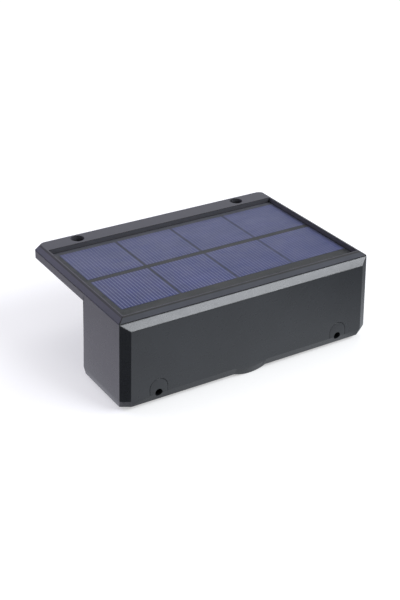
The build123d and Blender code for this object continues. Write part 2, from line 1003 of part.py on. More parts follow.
with BuildPart() as board_coil:
    coil_at = on_board(coil_place)
    core_bottom = board_top + coil_flange[1]
    core_top = core_bottom + coil_core[1]
    extrude(discs(board_top, coil_flange[0], coil_at), amount=coil_flange[1])
    extrude(discs(core_bottom, coil_core[0], coil_at), amount=coil_core[1])
    extrude(discs(core_top, coil_flange[0], coil_at), amount=coil_flange[1])
save(board_coil, "board_coil")

with BuildPart() as board_capacitor:
    capacitor_at = on_board(capacitor_place)
    foot_side, foot_height = capacitor_foot
    extrude(plates(board_top, foot_side, foot_side, capacitor_at), amount=foot_height)
    extrude(
        discs(board_top + foot_height, capacitor_can[0], capacitor_at),
        amount=capacitor_can[1],
    )
    fillet(board_capacitor.faces().sort_by(Axis.Z)[-1].edges(), radius=0.5)
save(board_capacitor, "board_capacitor")

with BuildPart() as board_chips:
    for places, (width, length, height) in (
        ([driver_place], driver_size),
        (diode_places, diode_size),
        (resistor_places, resistor_size),
    ):
        extrude(plates(board_top, width, length, on_board(*places)), amount=height)
save(board_chips, "board_chips")

# Battery holder, cells and contacts ------------------------------------------------------------
holder_centre_d = (holder_front + holder_rear) / 2
holder_top_of_floor = holder_bottom + holder_floor
ear_places = [
    (side * (holder_half + holder_ear_reach / 2), depth(d))
    for side in (-1, 1)
    for d in (column_d[0] + 0.5, column_d[1] - 0.5)
]

with BuildPart() as battery_holder:
    extrude(
        field(holder_bottom, holder_half, holder_front, holder_rear),
        amount=holder_end_top - holder_bottom,
    )
    extrude(
        field(
            holder_top_of_floor,
            contact_x,
            holder_front + holder_side_wall,
            holder_rear - holder_side_wall,
        ),
        amount=holder_end_top - holder_top_of_floor,
        mode=Mode.SUBTRACT,
    )
    # the long walls are lower between the ends
    extrude(
        field(holder_side_top, contact_x - 3, holder_front - 1, holder_rear + 1),
        amount=holder_end_top - holder_side_top,
        mode=Mode.SUBTRACT,
    )
    extrude(
        plates(
            holder_top_of_floor,
            2 * contact_x,
            2 * rib_half,
            [(0, depth(sum(cell_axis_d) / 2))],
        ),
        amount=rib_height,
    )
    extrude(
        plates(holder_bottom, holder_ear_reach, 2 * holder_ear_half, ear_places),
        amount=ear_thickness,
    )
    extrude(
        discs(holder_bottom, peg_hole_radius, holder_columns_at),
        amount=ear_thickness,
        mode=Mode.SUBTRACT,
    )
    # slots for the tails of the two terminals
    with BuildSketch(Plane.YZ.offset(contact_x)) as tail_slots:
        with Locations(*[(depth(d), level(tail_s)) for d in cell_axis_d]):
            Rectangle(tail_width + 0.4, contact_thickness + 0.4)
    extrude(amount=holder_wall, mode=Mode.SUBTRACT)
save(battery_holder, "battery_holder")

holder_screws = pan_screws(
    holder_bottom + ear_thickness, holder_bottom - column_screw_length, holder_screws_at
)
save(holder_screws, "holder_screws")

with BuildPart() as battery_cells:
    for side, d in ((1, cell_axis_d[0]), (-1, cell_axis_d[1])):
        start = side * (nub_end - nub_height - cell_body)
        with BuildSketch(Plane.YZ.offset(start)) as body:
            with Locations((depth(d), level(cell_axis_s))):
                Circle(cell_radius)
        extrude(amount=side * cell_body)
        with BuildSketch(Plane.YZ.offset(side * (nub_end - nub_height))) as nub:
            with Locations((depth(d), level(cell_axis_s))):
                Circle(nub_radius)
        extrude(amount=side * nub_height)
    rims = battery_cells.edges().filter_by(GeomType.CIRCLE)
    fillet(rims.filter_by(lambda e: e.radius > nub_radius + 1), radius=0.7)
save(battery_cells, "battery_cells")


def contact_leaf(side, d):
    """Bowed leaf on the contact plate at one end, drawn in the level plane."""
    plate_x = side * (contact_x - contact_thickness)
    tip_x = plate_x - side * (leaf_reach - contact_thickness / 2)
    with BuildSketch(Plane.XY.offset(level(cell_axis_s - leaf_height / 2))) as drawn:
        with BuildLine():
            Polyline(
                (plate_x + side * contact_thickness / 2, depth(d - leaf_half)),
                (tip_x, depth(d - leaf_top_half)),
                (tip_x, depth(d + leaf_top_half)),
                (plate_x + side * contact_thickness / 2, depth(d + leaf_half)),
            )
        trace(line_width=contact_thickness)
    return drawn.sketch


def contact_plate(side, d_low, d_high):
    """Face of an upright contact plate against one end wall of the holder."""
    x = side * contact_x - (contact_thickness if side > 0 else 0)
    with BuildSketch(Plane.YZ.offset(x)) as drawn:
        with Locations((depth((d_low + d_high) / 2), level(cell_axis_s))):
            Rectangle(d_high - d_low, contact_height)
    return drawn.sketch


def contact_dimple(side, d):
    """Face of the raised dimple that a cell's nub rests on."""
    x = side * (contact_x - contact_thickness) - (dimple_height if side > 0 else 0)
    with BuildSketch(Plane.YZ.offset(x)) as drawn:
        with Locations((depth(d), level(cell_axis_s))):
            Circle(dimple_radius)
    return drawn.sketch


with BuildPart() as bridge_contact:
    extrude(
        contact_plate(-1, cell_axis_d[0] - contact_half, cell_axis_d[1] + contact_half),
        amount=contact_thickness,
    )
    extrude(contact_leaf(-1, cell_axis_d[0]), amount=leaf_height)
    extrude(contact_dimple(-1, cell_axis_d[1]), amount=dimple_height)
    # notch over the rib of the holder
    extrude(
        plates(
            holder_top_of_floor,
            2 * holder_half,
            2 * rib_half + 0.4,
            [(-holder_half, depth(sum(cell_axis_d) / 2))],
        ),
        amount=rib_height + 0.2,
        mode=Mode.SUBTRACT,
    )
save(bridge_contact, "bridge_contact")

with BuildPart() as terminal_contacts:
    for d in cell_axis_d:
        extrude(
            contact_plate(1, d - contact_half, d + contact_half),
            amount=contact_thickness,
        )
        with BuildSketch(Plane.YZ.offset(contact_x)) as tail:
            with Locations((depth(d), level(tail_s))):
                Rectangle(tail_width, contact_thickness)
        extrude(amount=tail_reach)
    extrude(contact_dimple(1, cell_axis_d[0]), amount=dimple_height)
    extrude(contact_leaf(1, cell_axis_d[1]), amount=leaf_height)
save(terminal_contacts, "terminal_contacts")


# Leads -----------------------------------------------------------------------------------------
def lead(x_start, x_end, s_start, d):
    """Round lead that leaves upright, runs level under the holder, ends on the board."""
    with BuildPart() as wire:
        with BuildLine(Plane.XZ.offset(-depth(d))) as path:
            FilletPolyline(
                (x_start, level(s_start)),
                (x_start, level(lead_run_s)),
                (x_end, level(lead_run_s)),
                (x_end, level(board_top)),
                radius=lead_bend,
            )
        with BuildSketch(Plane(origin=path.line @ 0, z_dir=path.line % 0)):
            Circle(lead_radius)
        sweep()
    return wire


tail_x = contact_x + tail_reach - lead_radius - 0.4
panel_lead_x = (-holder_half - holder_ear_reach - 3.5, 2.5 - control_half)
board_lead_x = control_half - board_lead_inset
led_lead_x = control_half + 4.5
tail_bottom = tail_s - contact_thickness / 2
lead_red_d = light_d - lead_half_pitch
lead_black_d = light_d + lead_half_pitch
leads = {
    "panel_lead_red": lead(*panel_lead_x, panel_bottom, lead_red_d),
    "panel_lead_black": lead(*panel_lead_x, panel_bottom, lead_black_d),
    "battery_lead_red": lead(tail_x, board_lead_x, tail_bottom, cell_axis_d[0]),
    "battery_lead_black": lead(tail_x, board_lead_x, tail_bottom, cell_axis_d[1]),
    "led_lead_red": lead(led_lead_x, board_lead_x, led_board_top, lead_red_d),
    "led_lead_black": lead(led_lead_x, board_lead_x, led_board_top, lead_black_d),
}
for name, wire in leads.items():
    save(wire, name)
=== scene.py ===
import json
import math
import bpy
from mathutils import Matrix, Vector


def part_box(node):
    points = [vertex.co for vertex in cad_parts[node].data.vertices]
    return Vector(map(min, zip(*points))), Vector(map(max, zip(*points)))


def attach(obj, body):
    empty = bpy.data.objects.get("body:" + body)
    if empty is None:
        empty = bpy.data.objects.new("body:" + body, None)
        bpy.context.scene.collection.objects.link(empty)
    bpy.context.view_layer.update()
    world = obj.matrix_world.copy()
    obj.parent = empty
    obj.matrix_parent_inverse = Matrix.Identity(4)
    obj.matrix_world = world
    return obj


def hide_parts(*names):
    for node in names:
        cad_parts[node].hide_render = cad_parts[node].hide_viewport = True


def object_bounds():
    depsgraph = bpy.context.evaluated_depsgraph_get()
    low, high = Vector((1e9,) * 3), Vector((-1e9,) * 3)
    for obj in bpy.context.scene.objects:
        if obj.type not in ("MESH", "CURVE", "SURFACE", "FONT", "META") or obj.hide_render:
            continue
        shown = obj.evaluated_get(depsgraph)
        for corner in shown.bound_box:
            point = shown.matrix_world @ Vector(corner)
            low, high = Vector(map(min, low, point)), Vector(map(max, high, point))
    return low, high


bl_info = {
    "name": "Solar fence light",
    "version": (1, 0, 0),
    "blender": (4, 5, 0),
    "location": "3D View > Sidebar > Fence light",
    "description": "Dresses a solar fence light: plastic, solar cells, lamp and stage",
    "category": "Object",
}

import bmesh
import bpy
import numpy as np
from bpy.props import FloatProperty, FloatVectorProperty, IntProperty, PointerProperty
from mathutils import Matrix, Vector

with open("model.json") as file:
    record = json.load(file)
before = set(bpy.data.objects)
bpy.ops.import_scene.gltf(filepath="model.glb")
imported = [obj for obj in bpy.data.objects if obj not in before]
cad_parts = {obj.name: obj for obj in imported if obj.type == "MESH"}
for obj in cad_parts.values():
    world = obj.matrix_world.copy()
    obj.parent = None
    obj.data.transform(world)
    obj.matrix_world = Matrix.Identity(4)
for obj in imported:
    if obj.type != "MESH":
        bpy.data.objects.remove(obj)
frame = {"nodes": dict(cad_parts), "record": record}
cad_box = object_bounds()

MM = 0.001
nodes = frame["nodes"]
mounts = {mount["name"]: mount for mount in frame["record"]["mounts"]}


# Materials --------------------
def node_maker(tree):
    """Empties a node tree, and gives a function that adds a shader node to it.

    make(kind, settings, sockets) adds one node: settings are its own options, and sockets
    give a value or another node's output for each input."""
    tree.nodes.clear()

    def make(kind, settings=None, sockets=None):
        node = tree.nodes.new("ShaderNode" + kind)
        for key, value in (settings or {}).items():
            setattr(node, key, value)
        for key, value in (sockets or {}).items():
            if isinstance(value, bpy.types.NodeSocket):
                tree.links.new(value, node.inputs[key])
            else:
                node.inputs[key].default_value = value
        return node

    return make


def start_material(name):
    """An empty material, the function that adds its nodes, and its object coordinates."""
    material = bpy.data.materials.new(name)
    material.use_nodes = True
    make = node_maker(material.node_tree)
    return material, make, make("TexCoord").outputs["Object"]


def finish_material(material, make, shader):
    """Joins a shader to the material's output, and gives the material back."""
    make("OutputMaterial", None, {"Surface": shader.outputs[0]})
    return material


def finish_surface(
    material, make, colour, gloss, extras=None, relief=None, strength=0.3, depth=0.02 * MM
):
    """Ends a material with a surface of the given colour and roughness.

    extras give its other inputs. A pattern can emboss it, as a relief of some depth."""
    sockets = {"Base Color": colour, "Roughness": gloss, **(extras or {})}
    if relief is not None:
        bump = {"Strength": strength, "Distance": depth, "Height": relief}
        sockets["Normal"] = make("Bump", None, bump).outputs[0]
    return finish_material(material, make, make("BsdfPrincipled", None, sockets))


def maths(make, operation, *values):
    """Result of a sum on numbers or other nodes' outputs."""
    return make("Math", {"operation": operation}, dict(enumerate(values))).outputs[0]


def vector_maths(make, operation, *values):
    """Result of a sum on vectors, which is a number for a length or a dot product."""
    node = make("VectorMath", {"operation": operation}, dict(enumerate(values)))
    return node.outputs["Value" if operation in ("LENGTH", "DOT_PRODUCT") else "Vector"]


def axis(make, place, letter):
    """One of a place's three coordinates."""
    return make("SeparateXYZ", None, {0: place}).outputs[letter]


def noise(make, place, scale, detail=2.0, rough=0.5):
    """Noise pattern on the given coordinates."""
    sockets = {"Vector": place, "Scale": scale, "Detail": detail, "Roughness": rough}
    return make("TexNoise", None, sockets).outputs["Fac"]


def spread(make, value, low, high, from_low=0.3, from_high=0.7):
    """Values between from_low and from_high, spread from low to high."""
    ends = {"From Min": from_low, "From Max": from_high, "To Min": low, "To Max": high}
    return make("MapRange", None, {"Value": value, **ends}).outputs["Result"]


def rgb(colour):
    """Colour with an alpha of one."""
    return (colour[0], colour[1], colour[2], 1.0)


def shades(colour, low, high):
    """Two shades of a colour, darker and lighter by the given factors."""
    return rgb([c * low for c in colour]), rgb([min(c * high, 1.0) for c in colour])


def blend_colours(make, share, first, second):
    """Mix of two colours, each a plain colour or another node's output."""
    sockets = {0: share, 6: first, 7: second}
    return make("Mix", {"data_type": "RGBA"}, sockets).outputs[2]


def mottled(make, pattern, colour, low, high):
    """A colour that goes with a pattern between two of its own shades."""
    return blend_colours(make, spread(make, pattern, 0.0, 1.0), *shades(colour, low, high))


def graded_along_y(make, place, base, veil, low, high, near, far):
    """Colour under a veil whose share grows from low to high, from near to far along Y."""
    share = spread(make, axis(make, place, "Y"), low, high, near, far)
    return blend_colours(make, share, base, rgb(veil))


def edge_share(make, radius):
    """Share of edge at a point, for edge wear and painted light: how far the rounded normal
    leans from the true one.
    """
    rounded = make("Bevel", {"samples": 4}, {"Radius": radius}).outputs[0]
    true = make("NewGeometry").outputs["Normal"]
    lean = vector_maths(make, "DOT_PRODUCT", rounded, true)
    return spread(make, lean, 1.0, 0.0, 0.93, 0.998)


def moulded_plastic(
    name, colour, rough, grain, depth, edge_wear_and_light=0.5, edge=0.35 * MM, rear_paling=0.0, veil=None
):
    """Moulded plastic: spark-eroded grain, faint flow marks, marked edges, painted shade in
    hollows.

    Edges are painted paler, partly as wear and partly as a painted highlight; a setting
    below zero darkens them with painted shade instead. Hollows get painted shade. The rear
    can be paler by a given share of its own colour. A veil is a function of the
    coordinates and the colour, which gives another colour."""
    near, far, hollow_reach = -45 * MM, 45 * MM, 8 * MM
    material, make, place = start_material(name)
    fine = noise(make, place, 1.0 / grain, 3.0, 0.6)
    flow = noise(make, place, 38.0, 4.0, 0.62)
    patches = noise(make, place, 210.0, 3.0, 0.55)
    base = mottled(make, flow, colour, 0.88, 1.16)
    # Paler towards the rear, by a share of its own colour.
    if rear_paling:
        pale = [c * (1.0 + rear_paling) for c in colour]
        base = graded_along_y(make, place, base, pale, 0.0, 1.0, near, far)
    if veil:
        base = veil(make, place, base)
    # Near-black painted shade for hollows and darkened edges; paler edges are partly wear
    # and partly a painted highlight.
    painted_shade = rgb([c * 0.1 for c in colour])
    wear_and_highlight = rgb([min(c * 1.5 + 0.012, 1.0) for c in colour])
    edges_marked = maths(make, "MULTIPLY", edge_share(make, edge), abs(edge_wear_and_light))
    base = blend_colours(make, edges_marked, base, painted_shade if edge_wear_and_light < 0 else wear_and_highlight)
    # Painted shade in hollows, where ambient occlusion is low, with less specular there
    # too.
    open_air = make("AmbientOcclusion", {"samples": 6}, {"Distance": hollow_reach})
    open_air = open_air.outputs["AO"]
    shine = spread(make, open_air, 0.0, 0.5, 0.05, 0.4)
    hollow = spread(make, open_air, 0.8, 0.0, 0.05, 0.4)
    base = blend_colours(make, hollow, base, painted_shade)
    if edge_wear_and_light < 0:
        shine = maths(make, "MULTIPLY", shine, spread(make, edges_marked, 1.0, 0.0, 0.0, 1.0))
    gloss = spread(make, patches, rough - 0.018, rough + 0.018)
    extras = {"Specular IOR Level": shine}
    return finish_surface(material, make, base, gloss, extras, fine, 0.42, depth)


def soft_rubber(name, colour):
    """Silicone rubber: dull bloom with a faint sheen and a fine tooth."""
    material, make, place = start_material(name)
    bloom_and_light = noise(make, place, 160.0, 4.0, 0.6)
    tooth = noise(make, place, 9000.0)
    base = mottled(make, bloom_and_light, colour, 0.8, 1.35)
    gloss = spread(make, bloom_and_light, 0.62, 0.78)
    extras = {"Sheen Weight": 0.08}
    return finish_surface(material, make, base, gloss, extras, tooth, 0.4, 0.03 * MM)


def plated_metal(name, colour, rough, stretch=(1.0, 1.0, 1.0), scale=4200.0):
    """Plated metal: fine drawn lines along one direction and a cloudy passivated skin."""
    material, make, place = start_material(name)
    drawn = make("Mapping", None, {"Vector": place, "Scale": stretch}).outputs[0]
    lines = noise(make, drawn, scale)
    clouds = noise(make, place, 320.0, 4.0, 0.6)
    base = mottled(make, clouds, colour, 0.78, 1.08)
    gloss = spread(make, clouds, rough - 0.06, rough + 0.08)
    return finish_surface(material, make, base, gloss, {"Metallic": 1.0}, lines)


def glass_fibre_board(name, colour, rough):
    """Circuit board: woven glass under solder mask, seen as a faint square weave."""
    material, make, place = start_material(name)
    weave = make("TexChecker", None, {"Vector": place, "Scale": 2400.0}).outputs["Fac"]
    clouds = noise(make, place, 90.0, 3.0)
    base = mottled(make, clouds, colour, 0.85, 1.15)
    gloss = spread(make, clouds, rough - 0.05, rough + 0.05)
    return finish_surface(material, make, base, gloss, None, weave, 0.2)


def painted_resin_reflection(make, place, base):
    """Colour of a cell through the resin, with a painted reflection: duller to the right
    and paler to the rear.
    """
    dull, haze_and_reflection = (0.041, 0.048, 0.120), (0.093, 0.098, 0.160)
    left, right, near, far = -50 * MM, 65 * MM, -38 * MM, 40 * MM
    share = spread(make, axis(make, place, "X"), 0.0, 0.72, left, right)
    base = blend_colours(make, share, base, rgb(dull))
    return graded_along_y(make, place, base, haze_and_reflection, 0.05, 0.62, near, far)


def silicon(name, colour):
    """Anti-reflection coated silicon: deep blue, with crystal grains of other blues."""
    material, make, place = start_material(name)
    crystals = make("TexVoronoi", None, {"Vector": place, "Scale": 190.0})
    level = make("SeparateColor", None, {0: crystals.outputs["Color"]}).outputs[0]
    clouds = noise(make, place, 26.0)
    base = blend_colours(make, level, *shades(colour, 0.82, 1.2))
    violet = rgb([colour[0] * 1.9, colour[1] * 1.15, colour[2] * 0.92])
    base = blend_colours(make, spread(make, clouds, 0.0, 0.6), base, violet)
    # Painted reflection: duller to the right and paler to the rear.
    base = painted_resin_reflection(make, place, base)
    gloss = spread(make, level, 0.43, 0.52, 0.0, 1.0)
    return finish_surface(material, make, base, gloss, {"Specular IOR Level": 0.36})


def clear_resin(name, tint):
    """Clear resin: lets the layer below show, through a slightly cloudy tint."""
    material, make, place = start_material(name)
    haze_and_reflection = noise(make, place, 40.0, 3.0)
    streaks = make("Mapping", None, {"Vector": place, "Scale": (0.3, 1.0, 1.0)})
    streaks = noise(make, streaks.outputs[0], 260.0)
    cloud = blend_colours(make, 0.4, haze_and_reflection, streaks)
    tinted = blend_colours(make, spread(make, cloud, 0.0, 1.0), rgb(tint), (1, 1, 1, 1))
    return finish_material(material, make, make("BsdfTransparent", None, {"Color": tinted}))


def frosted_plastic(name, colour):
    """Frosted lens: milky polycarbonate that lets light through and scatters it."""
    material, make, place = start_material(name)
    frost = noise(make, place, 5200.0)
    clouds = noise(make, place, 120.0, 3.0)
    base = mottled(make, clouds, colour, 0.93, 1.05)
    gloss = spread(make, clouds, 0.38, 0.5)
    extras = {"Transmission Weight": 0.35, "IOR": 1.49}
    return finish_surface(material, make, base, gloss, extras, frost, 0.35, 0.03 * MM)


def lacquered(name, colour, rough, scale=240.0, shine=0.5, veil=None):
    """Smooth hard surface, such as a can, chip, ferrite, wrap or wire: clouded a little.

    A veil is a function of the coordinates and the colour, which gives another colour."""
    material, make, place = start_material(name)
    clouds = noise(make, place, scale, 4.0, 0.6)
    pits = noise(make, place, scale * 28.0)
    base = mottled(make, clouds, colour, 0.82, 1.14)
    if veil:
        base = veil(make, place, base)
    gloss = spread(make, clouds, rough - 0.07, rough + 0.07)
    return finish_surface(material, make, base, gloss, {"Specular IOR Level": shine}, pits)


def phosphor_package(name, pitch, centre_y, radius):
    """White lamp chips in a row, each with a round yellow phosphor in its middle.

    A chip's middle lies where X, folded to and fro over half a pitch, is half a pitch."""
    material, make, place = start_material(name)
    along = maths(make, "PINGPONG", axis(make, place, "X"), pitch / 2)
    along = maths(make, "SUBTRACT", along, pitch / 2)
    across = maths(make, "SUBTRACT", axis(make, place, "Y"), centre_y)
    flat = make("CombineXYZ", None, {"X": along, "Y": across}).outputs[0]
    away = vector_maths(make, "LENGTH", flat)
    grain = noise(make, place, 6000.0)
    share = spread(make, away, 1.0, 0.0, radius - 0.15 * MM, radius)
    yellow = blend_colours(make, grain, (0.78, 0.58, 0.10, 1), (0.86, 0.70, 0.18, 1))
    base = blend_colours(make, share, (0.84, 0.84, 0.82, 1.0), yellow)
    gloss = spread(make, grain, 0.36, 0.5)
    return finish_surface(material, make, base, gloss, None, grain)


# Meshes --------------------
def add_object(name, data):
    """New object in the scene, which shows a mesh, a lamp or a camera."""
    added = bpy.data.objects.new(name, data)
    bpy.context.scene.collection.objects.link(added)
    return added


def shade(mesh, sharp_from):
    """Shades a mesh smooth, apart from edges sharper than an angle in degrees."""
    mesh.shade_smooth()
    mesh.set_sharp_from_angle(angle=math.radians(sharp_from))


def show_piece(name, points, faces, materials, body="light", face_slots=None):
    """Puts computed points and faces into a new piece that rides on a body."""
    mesh = bpy.data.meshes.new(name)
    mesh.from_pydata(np.asarray(points).tolist(), [], faces)
    for material in materials:
        mesh.materials.append(material)
    if face_slots is not None:
        mesh.polygons.foreach_set("material_index", np.asarray(face_slots, np.int32))
    mesh.validate()
    mesh.update()
    piece = add_object(name, mesh)
    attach(piece, body)
    return piece


def grid_faces(rows, columns, start=0, closed=False):
    """Four-cornered faces between neighbours of a grid of points, row by row."""
    row = np.arange(rows - 1)[:, None]
    column = np.arange(columns if closed else columns - 1)[None, :]
    following = (column + 1) % columns
    first = row * columns + column
    second = row * columns + following
    stack = np.stack([first, second, second + columns, first + columns], axis=-1)
    return (stack.reshape(-1, 4) + start).tolist()


def revolved(profile, centre, turns=48):
    """Points of a profile (radius, height) carried round an upright axis.

    Point (i, j) is at centre + (r_i cos a_j, r_i sin a_j, h_i). The ends of the profile lie
    on the axis, and each is one point, so both poles are closed."""
    profile = np.asarray(profile, float)
    angle = np.linspace(0.0, 2 * math.pi, turns, endpoint=False)
    inner = profile[1:-1]
    x = centre[0] + inner[:, :1] * np.cos(angle)
    y = centre[1] + inner[:, :1] * np.sin(angle)
    z = centre[2] + np.repeat(inner[:, 1:], turns, axis=1)
    ring = np.stack([x, y, z], axis=-1).reshape(-1, 3)
    poles = [
        [centre[0], centre[1], centre[2] + profile[0, 1]],
        [centre[0], centre[1], centre[2] + profile[-1, 1]],
    ]
    points = np.vstack([ring, poles])
    faces = grid_faces(len(inner), turns, closed=True)
    around = np.arange(turns)
    after = (around + 1) % turns
    low, high = len(ring), len(ring) + 1
    last = (len(inner) - 1) * turns
    faces += np.stack([np.full(turns, low), after, around], 1).tolist()
    faces += np.stack([around + last, after + last, np.full(turns, high)], 1).tolist()
    return points, faces


def as_array(items, attribute, width=1, kind=np.int32):
    """One attribute of a mesh's points, edges, faces or corners, as an array."""
    values = np.empty(len(items) * width, kind)
    items.foreach_get(attribute, values)
    return values.reshape(-1, width) if width > 1 else values


def edge_angles(mesh):
    """Each edge's length, its middle and the angle between its two faces, as arrays."""
    count = len(mesh.edges)
    ends = as_array(mesh.edges, "vertices", 2)
    place = as_array(mesh.vertices, "co", 3, float)
    normal = as_array(mesh.polygons, "normal", 3, float)
    corner_edge = as_array(mesh.loops, "edge_index")
    size = as_array(mesh.polygons, "loop_total")
    corner_face = np.repeat(np.arange(len(size)), size)
    order = np.argsort(corner_edge, kind="stable")
    used = np.bincount(corner_edge, minlength=count)
    first = np.concatenate([[0], np.cumsum(used)[:-1]])
    pair = used == 2
    one = corner_face[order[first[pair]]]
    two = corner_face[order[first[pair] + 1]]
    dot = np.clip((normal[one] * normal[two]).sum(1), -1, 1)
    angle = np.zeros(count)
    angle[pair] = np.degrees(np.arccos(dot))
    length = np.linalg.norm(place[ends[:, 0]] - place[ends[:, 1]], axis=1)
    return length, place[ends].mean(axis=1), angle


def rounded_copy(node, name, material, radius, shortest, cuts=(), sharp=()):
    """Copy of a CAD solid's mesh whose long sharp edges are rounded.

    Its doubles are merged first, and each cut, a point and an outward normal, slices off
    what lies beyond its plane. Each edge longer than shortest, where the normals of its two
    faces are more than blunt degrees apart, gets a fillet of the given radius, unless its
    middle lies in one of the boxes, low and high corner, that stay sharp."""
    blunt, creased = 20.0, 32.0
    mesh = nodes[node].data.copy()
    mesh.name = name
    piece = add_object(name, mesh)
    mesh.materials.clear()
    mesh.materials.append(material)
    merged = merge_and_cut(mesh, cuts)
    length, middle, angle = edge_angles(merged)
    chosen = (angle > blunt) & (length > shortest)
    for low, high in sharp:
        chosen &= ~((middle > low) & (middle < high)).all(axis=1)
    weight = merged.attributes.new("bevel_weight_edge", "FLOAT", "EDGE")
    weight.data.foreach_set("value", chosen.astype(np.float32))
    bevel = piece.modifiers.new("rounding", "BEVEL")
    bevel.limit_method = "WEIGHT"
    bevel.width = radius
    bevel.segments = 3
    bevel.use_clamp_overlap = False
    bevel.miter_outer = "MITER_SHARP"
    shade(merged, creased)
    level = piece.modifiers.new("even shading", "WEIGHTED_NORMAL")
    level.keep_sharp = True
    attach(piece, "light")
    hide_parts(node)
    return piece


def merge_and_cut(mesh, cuts):
    """Merges a mesh's doubles, and slices and closes it at each cut."""
    merge_distance = 0.002 * MM
    work = bmesh.new()
    work.from_mesh(mesh)
    bmesh.ops.remove_doubles(work, verts=work.verts, dist=merge_distance)
    for point, normal in cuts:
        every = work.verts[:] + work.edges[:] + work.faces[:]
        sliced = bmesh.ops.bisect_plane(
            work, geom=every, plane_co=point, plane_no=normal, clear_outer=True
        )
        edges = [e for e in sliced["geom_cut"] if isinstance(e, bmesh.types.BMEdge)]
        filled = bmesh.ops.edgeloop_fill(work, edges=edges)["faces"]
        bmesh.ops.recalc_face_normals(work, faces=work.faces)
        bmesh.ops.triangulate(work, faces=filled)
    work.to_mesh(mesh)
    work.free()
    mesh.update()
    return mesh


def paint(material, *names):
    """Gives carried-over CAD solids their material."""
    for name in names:
        slots = nodes[name].data.materials
        slots.clear()
        slots.append(material)


# Settings --------------------
class FenceLightPlastics(bpy.types.PropertyGroup):
    """Colours and finish of the mouldings."""

    housing: FloatVectorProperty(
        name="Housing",
        description="Colour of the housing's plastic",
        subtype="COLOR",
        default=(0.0160, 0.0182, 0.0212),
    )
    solar_frame: FloatVectorProperty(
        name="Solar frame",
        description="Colour of the solar frame's plastic",
        subtype="COLOR",
        default=(0.0345, 0.0347, 0.0418),
    )
    cover: FloatVectorProperty(
        name="Cover",
        description="Colour of the bottom cover's plastic",
        subtype="COLOR",
        default=(0.0175, 0.0182, 0.0195),
    )
    housing_roughness: FloatProperty(
        name="Housing roughness", description="Roughness of the housing", default=0.28
    )
    frame_roughness: FloatProperty(
        name="Frame roughness", description="Roughness of the solar frame", default=0.7
    )
    grain: FloatProperty(
        name="Grain",
        description="Size of the moulded grain",
        subtype="DISTANCE",
        unit="LENGTH",
        default=0.16 * MM,
    )
    grain_depth: FloatProperty(
        name="Grain depth",
        description="Depth of the moulded grain",
        subtype="DISTANCE",
        unit="LENGTH",
        default=0.0077 * MM,
    )
    edge_radius: FloatProperty(
        name="Edge radius",
        description="Rounding of the mouldings' edges",
        subtype="DISTANCE",
        unit="LENGTH",
        default=0.28 * MM,
    )


class FenceLightPanel(bpy.types.PropertyGroup):
    """Sizes and colours of the solar panel."""

    silicon: FloatVectorProperty(
        name="Silicon",
        description="Colour of the coated silicon",
        subtype="COLOR",
        default=(0.009, 0.016, 0.098),
    )
    fingers: FloatVectorProperty(
        name="Fingers",
        description="Colour of the printed silver fingers",
        subtype="COLOR",
        default=(0.125, 0.132, 0.215),
    )
    backing: FloatVectorProperty(
        name="Backing",
        description="Colour of the board and the filler behind the cells",
        subtype="COLOR",
        default=(0.017, 0.018, 0.018),
    )
    finger_count: IntProperty(
        name="Finger count", description="Silver fingers on one cell", default=18
    )
    finger_width: FloatProperty(
        name="Finger width",
        description="Width of one silver finger",
        subtype="DISTANCE",
        unit="LENGTH",
        default=0.52 * MM,
    )
    finger_height: FloatProperty(
        name="Finger height",
        description="How far a finger stands up from the silicon",
        subtype="DISTANCE",
        unit="LENGTH",
        default=0.03 * MM,
    )
    resin_tint: FloatVectorProperty(
        name="Resin tint",
        description="Colour of the clear resin where it is cloudiest",
        subtype="COLOR",
        default=(0.93, 0.94, 0.95),
    )
    resin_rise: FloatProperty(
        name="Resin rise",
        description="How far the resin creeps up at its edge",
        subtype="DISTANCE",
        unit="LENGTH",
        default=0.05 * MM,
    )
    column_gap: FloatProperty(
        name="Column gap",
        description="Gap between cells side by side",
        subtype="DISTANCE",
        unit="LENGTH",
        default=1.4 * MM,
    )
    row_gap: FloatProperty(
        name="Row gap",
        description="Gap between the two rows of cells",
        subtype="DISTANCE",
        unit="LENGTH",
        default=3.5 * MM,
    )
    cover: FloatProperty(
        name="Cover",
        description="Depth of clear resin over the filler between the cells",
        subtype="DISTANCE",
        unit="LENGTH",
        default=0.18 * MM,
    )


class FenceLightLamp(bpy.types.PropertyGroup):
    """Colours of the lamp and the button."""

    lens: FloatVectorProperty(
        name="Lens",
        description="Colour of the frosted lens",
        subtype="COLOR",
        default=(0.80, 0.81, 0.80),
    )
    button: FloatVectorProperty(
        name="Button",
        description="Colour of the push button",
        subtype="COLOR",
        default=(0.022, 0.023, 0.025),
    )
    button_dish: FloatProperty(
        name="Button dish",
        description="Depth of the dish in the button's face",
        subtype="DISTANCE",
        unit="LENGTH",
        default=0.35 * MM,
    )


